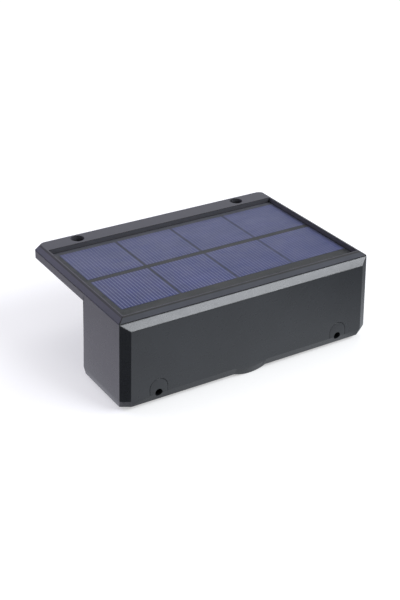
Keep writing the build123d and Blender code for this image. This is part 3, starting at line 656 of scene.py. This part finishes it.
class FenceLightStage(bpy.types.PropertyGroup):
    """Camera, floor and lamps."""

    camera_place: FloatVectorProperty(
        name="Camera place",
        description="Where the camera stands",
        subtype="TRANSLATION",
        unit="LENGTH",
        default=(-0.30033, -0.46528, 0.31909),
    )
    camera_turn: FloatProperty(
        name="Camera turn",
        description="Turn of the camera to the right of the fence's normal",
        subtype="ANGLE",
        unit="ROTATION",
        default=math.radians(32.7676),
    )
    camera_tilt: FloatProperty(
        name="Camera tilt",
        description="How far the camera looks down",
        subtype="ANGLE",
        unit="ROTATION",
        default=math.radians(28.351),
    )
    camera_roll: FloatProperty(
        name="Camera roll",
        description="Roll of the camera",
        subtype="ANGLE",
        unit="ROTATION",
        default=math.radians(1.3211),
    )
    lens: FloatProperty(
        name="Lens",
        description="Focal length in millimetres, for 36 mm along the long side",
        default=69.574,
    )
    floor: FloatVectorProperty(
        name="Floor",
        description="Colour of the floor",
        subtype="COLOR",
        default=(0.62, 0.62, 0.62),
    )
    floor_glow: FloatProperty(
        name="Floor glow",
        description="Light added to the floor where the camera sees it",
        default=0.45,
    )


def settings():
    """The scene's groups of settings: plastics, panel, lamp and stage."""
    return [getattr(bpy.context.scene, name) for name, _ in GROUPS]


# Pieces --------------------
class FENCELIGHT_OT_housing(bpy.types.Operator):
    """Housing: one moulding with rounded arrises and arched marks."""

    bl_idname = "fencelight.housing"
    bl_label = "Housing"

    def execute(self, context):
        plastics = settings()[0]
        skin = moulded_plastic(
            "housing_plastic",
            plastics.housing,
            plastics.housing_roughness,
            plastics.grain,
            plastics.grain_depth,
        )
        rounded_copy(
            "housing",
            "housing_moulding",
            skin,
            plastics.edge_radius,
            shortest=2.2 * MM,
            sharp=self.marks(),
        )
        return {"FINISHED"}

    def marks(self):
        """Boxes round the two arched marks, whose fine grooves are left unrounded."""
        half_spacing = mounts["front_screws"]["dims"]["spacing_x_mm"] / 2 * MM
        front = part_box("housing")[0].y
        low = np.array([-10 * MM, front - 1 * MM, 2.5 * MM])
        high = np.array([10 * MM, front + 2 * MM, 20 * MM])
        holes = np.array([[-half_spacing, 0.0, 0.0], [half_spacing, 0.0, 0.0]])
        return [(low + hole, high + hole) for hole in holes]


class FENCELIGHT_OT_solar_frame(bpy.types.Operator):
    """Solar frame: bevelled rim round the panel, with its hooks and screw pockets."""

    bl_idname = "fencelight.solar_frame"
    bl_label = "Solar frame"

    # Half the crest's width, and how steep a side bevel is: so much rise for so much run
    crest_half_width = 71.8 * MM
    side_rise, side_run = 2.3, 3.2

    def execute(self, context):
        plastics = settings()[0]
        skin = moulded_plastic(
            "frame_plastic",
            plastics.solar_frame,
            plastics.frame_roughness,
            plastics.grain,
            plastics.grain_depth,
            # Edges darkened with painted shade, and bevels given painted shade tints and
            # lines.
            edge_wear_and_light=-1.0,
            edge=0.5 * MM,
            rear_paling=0.32,
            veil=self.painted_bevel_shade,
        )
        rounded_copy(
            "solar_frame",
            "frame_moulding",
            skin,
            0.7 * plastics.edge_radius,
            shortest=3.0 * MM,
            cuts=self.rear_corners(radius=2.5 * MM),
        )
        return {"FINISHED"}

    def painted_bevel_shade(self, make, place, base):
        """Colour of the frame with painted shade: darker, cooler bevels, and dark lines
        along the crest and the front mitres.

        A bevel is what faces up below the crest. Its topmost 0.6 mm is darkened by painted
        shade, and so is the mitre, where the dot product of (|x|, y) and the mitre's way is
        its reach."""
        mitre_way, mitre_reach = (0.616, 0.788, 0.0), 10.5 * MM
        front_shade_tint, side_shade_tint = (0.63, 0.71, 0.82), (0.74, 0.74, 0.88)
        painted_line_shade = (0.002, 0.002, 0.0025)
        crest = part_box("solar_frame")[1].z
        height = axis(make, place, "Z")
        facing = make("NewGeometry").outputs["Normal"]
        facing = vector_maths(make, "ABSOLUTE", facing)
        below = spread(make, height, 1.0, 0.0, crest - 0.08 * MM, crest - 0.03 * MM)
        upward = spread(make, axis(make, facing, "Z"), 0.0, 1.0, 0.3, 0.45)
        bevels = maths(make, "MULTIPLY", below, upward)
        sideways = spread(make, axis(make, facing, "X"), 0.0, 1.0, 0.25, 0.45)
        tint = blend_colours(make, sideways, rgb(front_shade_tint), rgb(side_shade_tint))
        # Painted shade: bevels tinted darker and cooler by the way they face.
        base = blend_colours(make, bevels, base, vector_maths(make, "MULTIPLY", base, tint))
        top = spread(make, height, 0.0, 0.95, crest - 0.66 * MM, crest - 0.58 * MM)
        across = maths(make, "ABSOLUTE", axis(make, place, "X"))
        flat = make("CombineXYZ", None, {"X": across, "Y": axis(make, place, "Y")})
        reach = vector_maths(make, "DOT_PRODUCT", flat.outputs[0], mitre_way)
        away = maths(make, "ABSOLUTE", maths(make, "SUBTRACT", reach, mitre_reach))
        mitre = spread(make, away, 0.9, 0.0, 0.15 * MM, 0.4 * MM)
        # Dark lines of painted shade along the crest and the front mitres.
        line = maths(make, "MULTIPLY", maths(make, "MAXIMUM", top, mitre), bevels)
        return blend_colours(make, line, base, rgb(painted_line_shade))

    def rear_corners(self, radius):
        """Planes that round the crest's two rear corners.

        The side's slope n and the rear wall m are square to each other. The planes touch
        the round between them: each has normal n cos a + m sin a, and lies a radius from
        the line that is a radius inside both. The angles a are fifths of a quarter turn."""
        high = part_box("solar_frame")[1]
        wall = Vector((0.0, 1.0, 0.0))
        cuts = []
        for side in (-1.0, 1.0):
            slope = Vector((side * self.side_rise, 0.0, self.side_run)).normalized()
            corner = Vector((side * self.crest_half_width, high.y, high.z))
            inside = corner - radius * (slope + wall)
            for turn in (0.314, 0.628, 0.942, 1.257):
                normal = slope * math.cos(turn) + wall * math.sin(turn)
                cuts.append((inside + radius * normal, normal))
        return cuts


class FENCELIGHT_OT_panel(bpy.types.Operator):
    """Solar panel: board, cells with their silver fingers, clear resin and sealant."""

    bl_idname = "fencelight.panel"
    bl_label = "Solar panel"

    def execute(self, context):
        panel = settings()[1]
        paint(glass_fibre_board("panel_backing", panel.backing, 0.42), "panel_board")
        paint(soft_rubber("panel_sealant", (0.02, 0.02, 0.021)), "panel_sealant")
        self.filler(panel)
        self.cells(panel)
        self.resin(panel)
        return {"FINISHED"}

    def filler(self, panel):
        """Dark layer that fills the panel between the cells, a plain closed slab."""
        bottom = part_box("solar_cells")[0].z
        points, faces = self.slab(bottom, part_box("panel_resin")[1].z - panel.cover, 0.0)
        # Painted reflection between the cells, and painted light towards the rear wall.
        skin = lacquered(
            "dark_filler", panel.backing, 0.55, scale=60.0, shine=0.34, veil=self.painted_rear_light
        )
        show_piece("dark_filler", points, faces, [skin])

    def painted_rear_light(self, make, place, base):
        """Colour of the filler through the resin, with a painted reflection between the
        cells.

        The painted reflection grows to the right between columns, and painted light makes
        it paler towards the rear wall."""
        haze_and_reflection, bloom_and_light = (0.045, 0.052, 0.102), (0.068, 0.068, 0.078)
        left, right, near = -55 * MM, 50 * MM, -38 * MM
        wall_start, wall_end, blur = 33 * MM, 37.5 * MM, 0.1 * MM
        low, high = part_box("solar_cells")
        middle = (low.y + high.y) / 2
        away = maths(make, "SUBTRACT", axis(make, place, "Y"), middle)
        away = maths(make, "ABSOLUTE", away)
        share = spread(make, axis(make, place, "X"), 0.05, 0.75, left, right)
        for edge, before, beyond in (
            (settings()[1].row_gap / 2, 0.0, 1.0),
            (high.y - middle, 1.0, 0.0),
        ):
            row = spread(make, away, before, beyond, edge, edge + blur)
            share = maths(make, "MULTIPLY", share, row)
        # Painted reflection between the columns, then painted light towards the rear wall.
        base = blend_colours(make, share, base, rgb(haze_and_reflection))
        base = graded_along_y(make, place, base, bloom_and_light, 0.0, 0.18, near, wall_start)
        return graded_along_y(make, place, base, bloom_and_light, 0.0, 1.0, wall_start, wall_end)

    def cells(self, panel):
        """Each cell is a profile across X carried straight along Y.

        The profile's height is the silicon's, plus the finger's height within half a
        finger's width of each finger's middle. It closes down the sides and underneath."""
        low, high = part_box("solar_cells")
        across, along = 4, 2
        stand, thickness, flat_share = 0.05 * MM, 0.2 * MM, 0.7
        gap_x, gap_y = panel.column_gap, panel.row_gap
        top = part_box("panel_resin")[1].z - panel.cover + stand
        width = (high.x - low.x + gap_x) / across - gap_x
        length = (high.y - low.y + gap_y) / along - gap_y
        pitch = width / panel.finger_count
        half = panel.finger_width / 2
        middle = (np.arange(panel.finger_count) + 0.5) * pitch
        steps = np.array([-half, -half * flat_share, half * flat_share, half])
        rise = np.array([0.0, 1.0, 1.0, 0.0]) * panel.finger_height
        x = np.concatenate([[0.0], (middle[:, None] + steps).ravel(), [width, width, 0.0]])
        z = np.concatenate([[0.0], np.tile(rise, panel.finger_count), [0.0, 0.0, 0.0]])
        z += top
        z[-2:] -= thickness
        count = len(x)
        silver = np.zeros(count, int)
        silver[1:-3] = np.tile([1, 1, 1, 0], panel.finger_count)
        points, faces, face_slots = [], [], []
        for column, row in np.ndindex(across, along):
            start = column * (width + gap_x) + low.x
            near = row * (length + gap_y) + low.y
            first = len(points) * count
            for y in (near, near + length):
                points.append(np.stack([start + x, np.full(count, y), z], 1))
            faces += grid_faces(2, count, first, closed=True)
            faces.append(list(range(first + count - 1, first - 1, -1)))
            faces.append(list(range(first + count, first + 2 * count)))
            face_slots += silver.tolist() + [0, 0]
        skins = [
            silicon("coated_silicon", panel.silicon),
            # The fingers get the same painted reflection as the silicon.
            lacquered(
                "printed_silver", panel.fingers, 0.48, 120.0, shine=0.36, veil=painted_resin_reflection
            ),
        ]
        points = np.vstack(points)
        piece = show_piece(
            "cells_with_fingers", points, faces, skins, face_slots=face_slots
        )
        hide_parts("solar_cells")

    def slab(self, bottom, top, rise):
        """Slab as wide as the panel.

        Its top is a grid: level inside, and within 2 mm of an edge it rises by the square
        of how near it is. The outline is carried down to a level bottom."""
        low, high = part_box("panel_resin")
        inset, margin, border = 0.02 * MM, 4 * MM, 2 * MM
        near_edge = np.array([0.0, 0.125, 0.25, 0.5, 0.75, 1.0]) * border
        lines = []
        for start, end, steps in ((low.x, high.x, 40), (low.y, high.y, 24)):
            size = end - start - 2 * inset
            inner = np.linspace(margin, size - margin, steps)
            line = np.concatenate([near_edge, inner, (size - near_edge)[::-1]])
            lines.append(line + start + inset)
        x, y = lines
        across, along = np.meshgrid(x, y)
        side_x = np.minimum(across - x[0], x[-1] - across)
        side_y = np.minimum(along - y[0], y[-1] - along)
        closeness = np.clip(1 - np.minimum(side_x, side_y) / border, 0, 1)
        upper = np.stack([across, along, top + rise * closeness**2], -1)
        lower = np.stack([across, along, np.full(across.shape, bottom)], -1)
        rows, columns = across.shape
        count = rows * columns
        points = np.vstack([upper.reshape(-1, 3), lower.reshape(-1, 3)])
        faces = grid_faces(rows, columns)
        faces += [face[::-1] for face in grid_faces(rows, columns, count)]
        index = np.arange(count).reshape(rows, columns)
        rim = np.concatenate(
            [index[0, :-1], index[:-1, -1], index[-1, :0:-1], index[:0:-1, 0]]
        )
        after = np.roll(rim, -1)
        walls = np.stack([after, rim, rim + count, after + count], 1)
        return points, faces + walls.tolist()

    def resin(self, panel):
        """Clear resin over the cells, which creeps up a little at the frame."""
        above_filler = 0.09 * MM
        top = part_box("panel_resin")[1].z
        bottom = top - panel.cover + above_filler
        points, faces = self.slab(bottom, top - panel.resin_rise, panel.resin_rise)
        skin = clear_resin("clear_resin", panel.resin_tint)
        piece = show_piece("clear_resin_sheet", points, faces, [skin])
        shade(piece.data, 40.0)
        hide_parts("panel_resin")


class FENCELIGHT_OT_lamp(bpy.types.Operator):
    """Lamp in the bottom opening: cover, gasket, frosted lens, reflector and lamp board."""

    bl_idname = "fencelight.lamp"
    bl_label = "Lamp"

    def execute(self, context):
        plastics, _, lamp, _ = settings()
        skin = moulded_plastic(
            "cover_plastic", plastics.cover, 0.4, plastics.grain, plastics.grain_depth
        )
        shortest = 1.5 * MM
        rounded_copy(
            "lamp_cover", "cover_moulding", skin, 0.2 * MM, shortest
        )
        lens = frosted_plastic("frosted_lens", lamp.lens)
        rounded_copy(
            "diffuser_lens", "frosted_lens", lens, 0.15 * MM, shortest
        )
        paint(soft_rubber("gasket_rubber", (0.03, 0.03, 0.031)), "cover_gasket")
        white = moulded_plastic(
            "reflector_plastic",
            (0.78, 0.78, 0.76),
            rough=0.28,
            grain=0.3 * MM,
            depth=0.005 * MM,
            edge_wear_and_light=0.2,
        )
        paint(white, "reflector")
        paint(glass_fibre_board("lamp_board", (0.74, 0.75, 0.73), 0.36), "led_board")
        low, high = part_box("led_packages")
        chip_length, chip_count, phosphor_radius = 3.5 * MM, 6, 1.2 * MM
        pitch = (high.x - low.x - chip_length) / (chip_count - 1)
        middle = (low.y + high.y) / 2
        chips = phosphor_package("lamp_chips", pitch, middle, phosphor_radius)
        paint(chips, "led_packages")
        return {"FINISHED"}


class FENCELIGHT_OT_button(bpy.types.Operator):
    """Push button with its dished face, its seal, and the switch that it works."""

    bl_idname = "fencelight.button"
    bl_label = "Push button"

    def execute(self, context):
        lamp = settings()[2]
        low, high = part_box("switch_button")
        centre = ((low.x + high.x) / 2, (low.y + high.y) / 2, low.z)
        radius, hub, flange = 2.9 * MM, 2.6 * MM, (high.x - low.x) / 2
        shoulder_radius, trim = 0.7 * MM, 0.15 * MM
        flange_bottom, flange_height, top = 4.6 * MM, 0.8 * MM, high.z - low.z
        flange_top = flange_bottom + flange_height
        dish_radius = 0.72 * radius
        share = np.linspace(0.0, 1.0, 9)
        face = np.stack([share * dish_radius, lamp.button_dish * (1 - share**2)], 1)
        turn = np.linspace(0, math.pi / 2, 7)
        shoulder = np.stack([np.sin(turn) - 1, 1 - np.cos(turn)], 1) * shoulder_radius
        shoulder[:, 0] += radius
        rest = [
            [radius, flange_bottom],
            [flange - trim, flange_bottom],
            [flange, flange_bottom + trim],
            [flange, flange_top - trim],
            [flange - trim, flange_top],
            [hub, flange_top],
            [hub, top],
            [0.0, top],
        ]
        points, faces = revolved(np.vstack([face, shoulder, rest]), centre)
        skin = soft_rubber("button_rubber", lamp.button)
        piece = show_piece(
            "dished_button", points, faces, [skin], body="button"
        )
        shade(piece.data, 35.0)
        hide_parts("switch_button")
        paint(soft_rubber("seal_rubber", (0.025, 0.025, 0.026)), "button_seal")
        paint(lacquered("switch_case", (0.02, 0.02, 0.021), 0.4), "push_switch")
        paint(lacquered("switch_stem", (0.62, 0.61, 0.57), 0.4), "switch_plunger")
        return {"FINISHED"}


class FENCELIGHT_OT_screws(bpy.types.Operator):
    """Screws: zinc-plated in the box, and blackened under the frame that they hold."""

    bl_idname = "fencelight.screws"
    bl_label = "Screws"

    def execute(self, context):
        zinc = plated_metal("zinc_steel", (0.62, 0.63, 0.64), 0.34)
        black = plated_metal("black_steel", (0.11, 0.11, 0.115), 0.38)
        paint(
            zinc,
            "cover_screws",
            "reflector_screws",
            "led_board_screws",
            "board_screws",
            "holder_screws",
        )
        paint(black, "frame_screws")
        return {"FINISHED"}


class FENCELIGHT_OT_electronics(bpy.types.Operator):
    """Control board with its coil, capacitor and chips."""

    bl_idname = "fencelight.electronics"
    bl_label = "Control board"

    def execute(self, context):
        board = glass_fibre_board("control_board", (0.03, 0.16, 0.07), 0.35)
        paint(board, "control_board")
        paint(lacquered("ferrite", (0.05, 0.048, 0.05), 0.55), "board_coil")
        can = plated_metal(
            "aluminium_can", (0.72, 0.73, 0.74), 0.3, stretch=(1, 1, 40), scale=900.0
        )
        paint(can, "board_capacitor")
        paint(lacquered("chip_epoxy", (0.025, 0.025, 0.027), 0.5), "board_chips")
        return {"FINISHED"}


class FENCELIGHT_OT_power(bpy.types.Operator):
    """Battery holder with two cells, their contacts and the leads."""

    bl_idname = "fencelight.power"
    bl_label = "Batteries and leads"

    def execute(self, context):
        holder = moulded_plastic(
            "holder_plastic", (0.03, 0.03, 0.032), 0.45, grain=0.3 * MM, depth=0.01 * MM
        )
        paint(holder, "battery_holder")
        paint(lacquered("cell_wrap", (0.05, 0.22, 0.34), 0.3, 60.0), "battery_cells")
        nickel = plated_metal("nickel", (0.68, 0.66, 0.62), 0.28)
        paint(nickel, "bridge_contact", "terminal_contacts")
        red = lacquered("red_wire", (0.42, 0.02, 0.02), 0.42)
        black = lacquered("black_wire", (0.02, 0.02, 0.021), 0.42)
        paint(red, "panel_lead_red", "battery_lead_red", "led_lead_red")
        paint(black, "panel_lead_black", "battery_lead_black", "led_lead_black")
        return {"FINISHED"}


# Stage --------------------
class FENCELIGHT_OT_stage(bpy.types.Operator):
    """Pale floor, soft lamps, white surroundings and the camera."""

    bl_idname = "fencelight.stage"
    bl_label = "Stage"

    def execute(self, context):
        stage = settings()[3]
        self.floor(stage)
        self.surroundings()
        self.lamps()
        self.camera(stage)
        context.scene.view_settings.view_transform = "Standard"
        return {"FINISHED"}

    def floor(self, stage):
        """Flat grid of 4 by 4 points just under the object, seen only from above."""
        reach, drop = 4.0, 0.4 * MM
        side = np.linspace(-reach, reach, 4)
        x, y = np.meshgrid(side, side)
        points = np.stack([x, y, np.full(x.shape, -drop)], -1).reshape(-1, 3)
        mesh = bpy.data.meshes.new("floor")
        mesh.from_pydata(points.tolist(), [], grid_faces(4, 4))
        mesh.materials.append(self.pale_floor(stage))
        floor = add_object("floor", mesh)

    def pale_floor(self, stage):
        """Matt floor that looks nearly white, and shows a painted reflection of its own in
        mirrors.
        """
        white = (1.0, 1.0, 1.0, 1.0)
        material, make, place = start_material("pale_floor")
        base = mottled(make, noise(make, place, 3.0), stage.floor, 0.985, 1.015)
        matt = make("BsdfDiffuse", None, {"Color": base, "Roughness": 0.5})
        ray = make("LightPath").outputs
        seen = maths(make, "ADD", ray["Is Camera Ray"], ray["Is Transmission Ray"])
        seen = maths(make, "MULTIPLY", seen, stage.floor_glow)
        glow = make("Emission", None, {"Color": white, "Strength": seen})
        lit = make("AddShader", None, {0: matt.outputs[0], 1: glow.outputs[0]})
        # Painted reflection: glossy rays see a glow here, not the lit floor.
        tint, strength = self.tint(make, place), self.mirrored(make, place)
        mirrored = make("Emission", None, {"Color": tint, "Strength": strength})
        under = make("BsdfTransparent")
        back = make("NewGeometry").outputs["Backfacing"]
        shader = lit
        for share, other in ((ray["Is Glossy Ray"], mirrored), (back, under)):
            shaders = {0: share, 1: shader.outputs[0], 2: other.outputs[0]}
            shader = make("MixShader", None, shaders)
        return finish_material(material, make, shader)

    def mirrored(self, make, place):
        """How bright the floor's painted reflection is in a mirror.

        It falls from bright to dim with distance and to the right. Painted shade darkens
        the wedge around its way out from the left corner, as a black flag would, and a
        strip of painted shadow dims the foot of the front face."""
        left_corner, dark_wedge_way = (-75 * MM, -48 * MM, 0.0), (-0.503, -0.864, 0.0)
        flat = vector_maths(make, "SUBTRACT", place, left_corner)
        flat = vector_maths(make, "MULTIPLY", flat, (1, 1, 0))
        way = vector_maths(make, "NORMALIZE", flat)
        lean = vector_maths(make, "DOT_PRODUCT", way, dark_wedge_way)
        # Painted shade in a wedge, where a black flag would stand.
        painted_wedge_shade = spread(make, lean, 1.0, 0.08, 0.78, 0.93)
        oval = vector_maths(make, "MULTIPLY", place, (0.7, 1, 0))
        away = vector_maths(make, "LENGTH", oval)
        level = spread(make, away, 1.1, 0.75, 60 * MM, 170 * MM)
        level = maths(make, "MULTIPLY", painted_wedge_shade, level)
        along = axis(make, place, "X")
        right = spread(make, along, 1.0, 0.35, 60 * MM, 150 * MM)
        level = maths(make, "MULTIPLY", right, level)
        # Painted shadow in a strip at the foot of the front face.
        painted_foot_shadow = spread(make, axis(make, place, "Y"), 0.0, 1.0, -58 * MM, -51 * MM)
        for low, high, start, end in (
            (0.38, 0.26, -50 * MM, -10 * MM),
            (0.0, 1.0, -78 * MM, -72 * MM),
            (1.0, 0.0, 76 * MM, 82 * MM),
        ):
            share = spread(make, along, low, high, start, end)
            painted_foot_shadow = maths(make, "MULTIPLY", painted_foot_shadow, share)
        return maths(make, "MULTIPLY", maths(make, "SUBTRACT", 1.0, painted_foot_shadow), level)

    def tint(self, make, place):
        """Colour of the floor's painted reflection: a little violet on the left, cooler in
        front.
        """
        violet, cool = (0.94, 0.91, 1.05), (0.96, 1.0, 1.07)
        share = spread(make, axis(make, place, "X"), 0.0, 1.0, -90 * MM, -60 * MM)
        return blend_colours(make, share, rgb(violet), rgb(cool))

    def surroundings(self):
        """White for what is seen and mirrored, and a dimmer even light for the rest."""
        world = bpy.data.worlds.new("surroundings")
        world.use_nodes = True
        make = node_maker(world.node_tree)
        ray = make("LightPath").outputs
        shown = maths(make, "MAXIMUM", ray["Is Camera Ray"], ray["Is Transmission Ray"])
        shown = maths(make, "MAXIMUM", shown, ray["Is Glossy Ray"])
        level = spread(make, shown, 0.5, 1.0, 0.0, 1.0)
        sky = make("Background", None, {"Color": (1.0, 1.0, 1.0, 1.0), "Strength": level})
        make("OutputWorld", None, {"Surface": sky.outputs[0]})
        bpy.context.scene.world = world

    def lamps(self):
        """Area lamps, each at a place along a direction and turned to the object."""
        middle = (cad_box[0] + cad_box[1]) / 2
        for name, way, distance, wide, high, watts, colour in (
            ("key", (0.494, -0.558, 0.660), 1.1, 0.90, 0.31, 8.8, (0.95, 0.985, 1.04)),
            ("left_fill", (-0.55, 0.60, 0.55), 1.3, 0.9, 0.7, 6.5, (0.62, 0.58, 1.0)),
            ("top_fill", (0.25, 0.35, 1.0), 1.3, 0.8, 0.8, 4.4, (1.0, 1.0, 1.0)),
        ):
            light = bpy.data.lights.new(name, "AREA")
            light.shape = "RECTANGLE"
            light.size, light.size_y = wide, high
            light.energy = watts
            light.color = colour
            lamp = add_object(name, light)
            way = Vector(way).normalized()
            turn = way.to_track_quat("Z", "Y").to_matrix().to_4x4()
            lamp.matrix_world = Matrix.Translation(middle + way * distance) @ turn

    def camera(self, stage):
        """Looks along (cos t sin a, cos t cos a, -sin t), then rolls about that line."""
        turn, tilt, roll = stage.camera_turn, stage.camera_tilt, stage.camera_roll
        flat = math.cos(tilt)
        ahead = Vector((flat * math.sin(turn), flat * math.cos(turn), -math.sin(tilt)))
        right = Vector((math.cos(turn), -math.sin(turn), 0.0))
        up = right.cross(ahead)
        level_right = right * math.cos(roll) + up * math.sin(roll)
        level_up = up * math.cos(roll) - right * math.sin(roll)
        turned = Matrix((level_right, level_up, -ahead)).transposed().to_4x4()
        data = bpy.data.cameras.new("camera")
        data.lens = stage.lens
        data.sensor_width = 36.0
        data.sensor_fit = "AUTO"
        data.clip_start, data.clip_end = 0.01, 50.0
        camera = add_object("camera", data)
        camera.matrix_world = Matrix.Translation(Vector(stage.camera_place)) @ turned
        bpy.context.scene.camera = camera


class FENCELIGHT_PT_sidebar(bpy.types.Panel):
    """Lists the pieces and their settings."""

    bl_idname = "FENCELIGHT_PT_sidebar"
    bl_label = "Fence light"
    bl_space_type = "VIEW_3D"
    bl_region_type = "UI"
    bl_category = "Fence light"

    def draw(self, context):
        layout = self.layout
        for operator in OPERATORS:
            layout.operator(operator.bl_idname)
        for group in settings():
            box = layout.box()
            for key in group.__annotations__:
                box.prop(group, key)


OPERATORS = (
    FENCELIGHT_OT_stage,
    FENCELIGHT_OT_housing,
    FENCELIGHT_OT_solar_frame,
    FENCELIGHT_OT_panel,
    FENCELIGHT_OT_lamp,
    FENCELIGHT_OT_button,
    FENCELIGHT_OT_screws,
    FENCELIGHT_OT_electronics,
    FENCELIGHT_OT_power,
)
GROUPS = (
    ("fence_light_plastics", FenceLightPlastics),
    ("fence_light_panel", FenceLightPanel),
    ("fence_light_lamp", FenceLightLamp),
    ("fence_light_stage", FenceLightStage),
)


def register():
    for name, group in GROUPS:
        bpy.utils.register_class(group)
        setattr(bpy.types.Scene, name, PointerProperty(type=group))
    for operator in OPERATORS:
        bpy.utils.register_class(operator)
    bpy.utils.register_class(FENCELIGHT_PT_sidebar)


def unregister():
    bpy.utils.unregister_class(FENCELIGHT_PT_sidebar)
    for operator in reversed(OPERATORS):
        bpy.utils.unregister_class(operator)
    for name, group in reversed(GROUPS):
        delattr(bpy.types.Scene, name)
        bpy.utils.unregister_class(group)


def main():
    register()
    bpy.ops.fencelight.stage()
    bpy.ops.fencelight.housing()
    bpy.ops.fencelight.solar_frame()
    bpy.ops.fencelight.panel()
    bpy.ops.fencelight.lamp()
    bpy.ops.fencelight.button()
    bpy.ops.fencelight.screws()
    bpy.ops.fencelight.electronics()
    bpy.ops.fencelight.power()


if __name__ == "__main__":
    main()
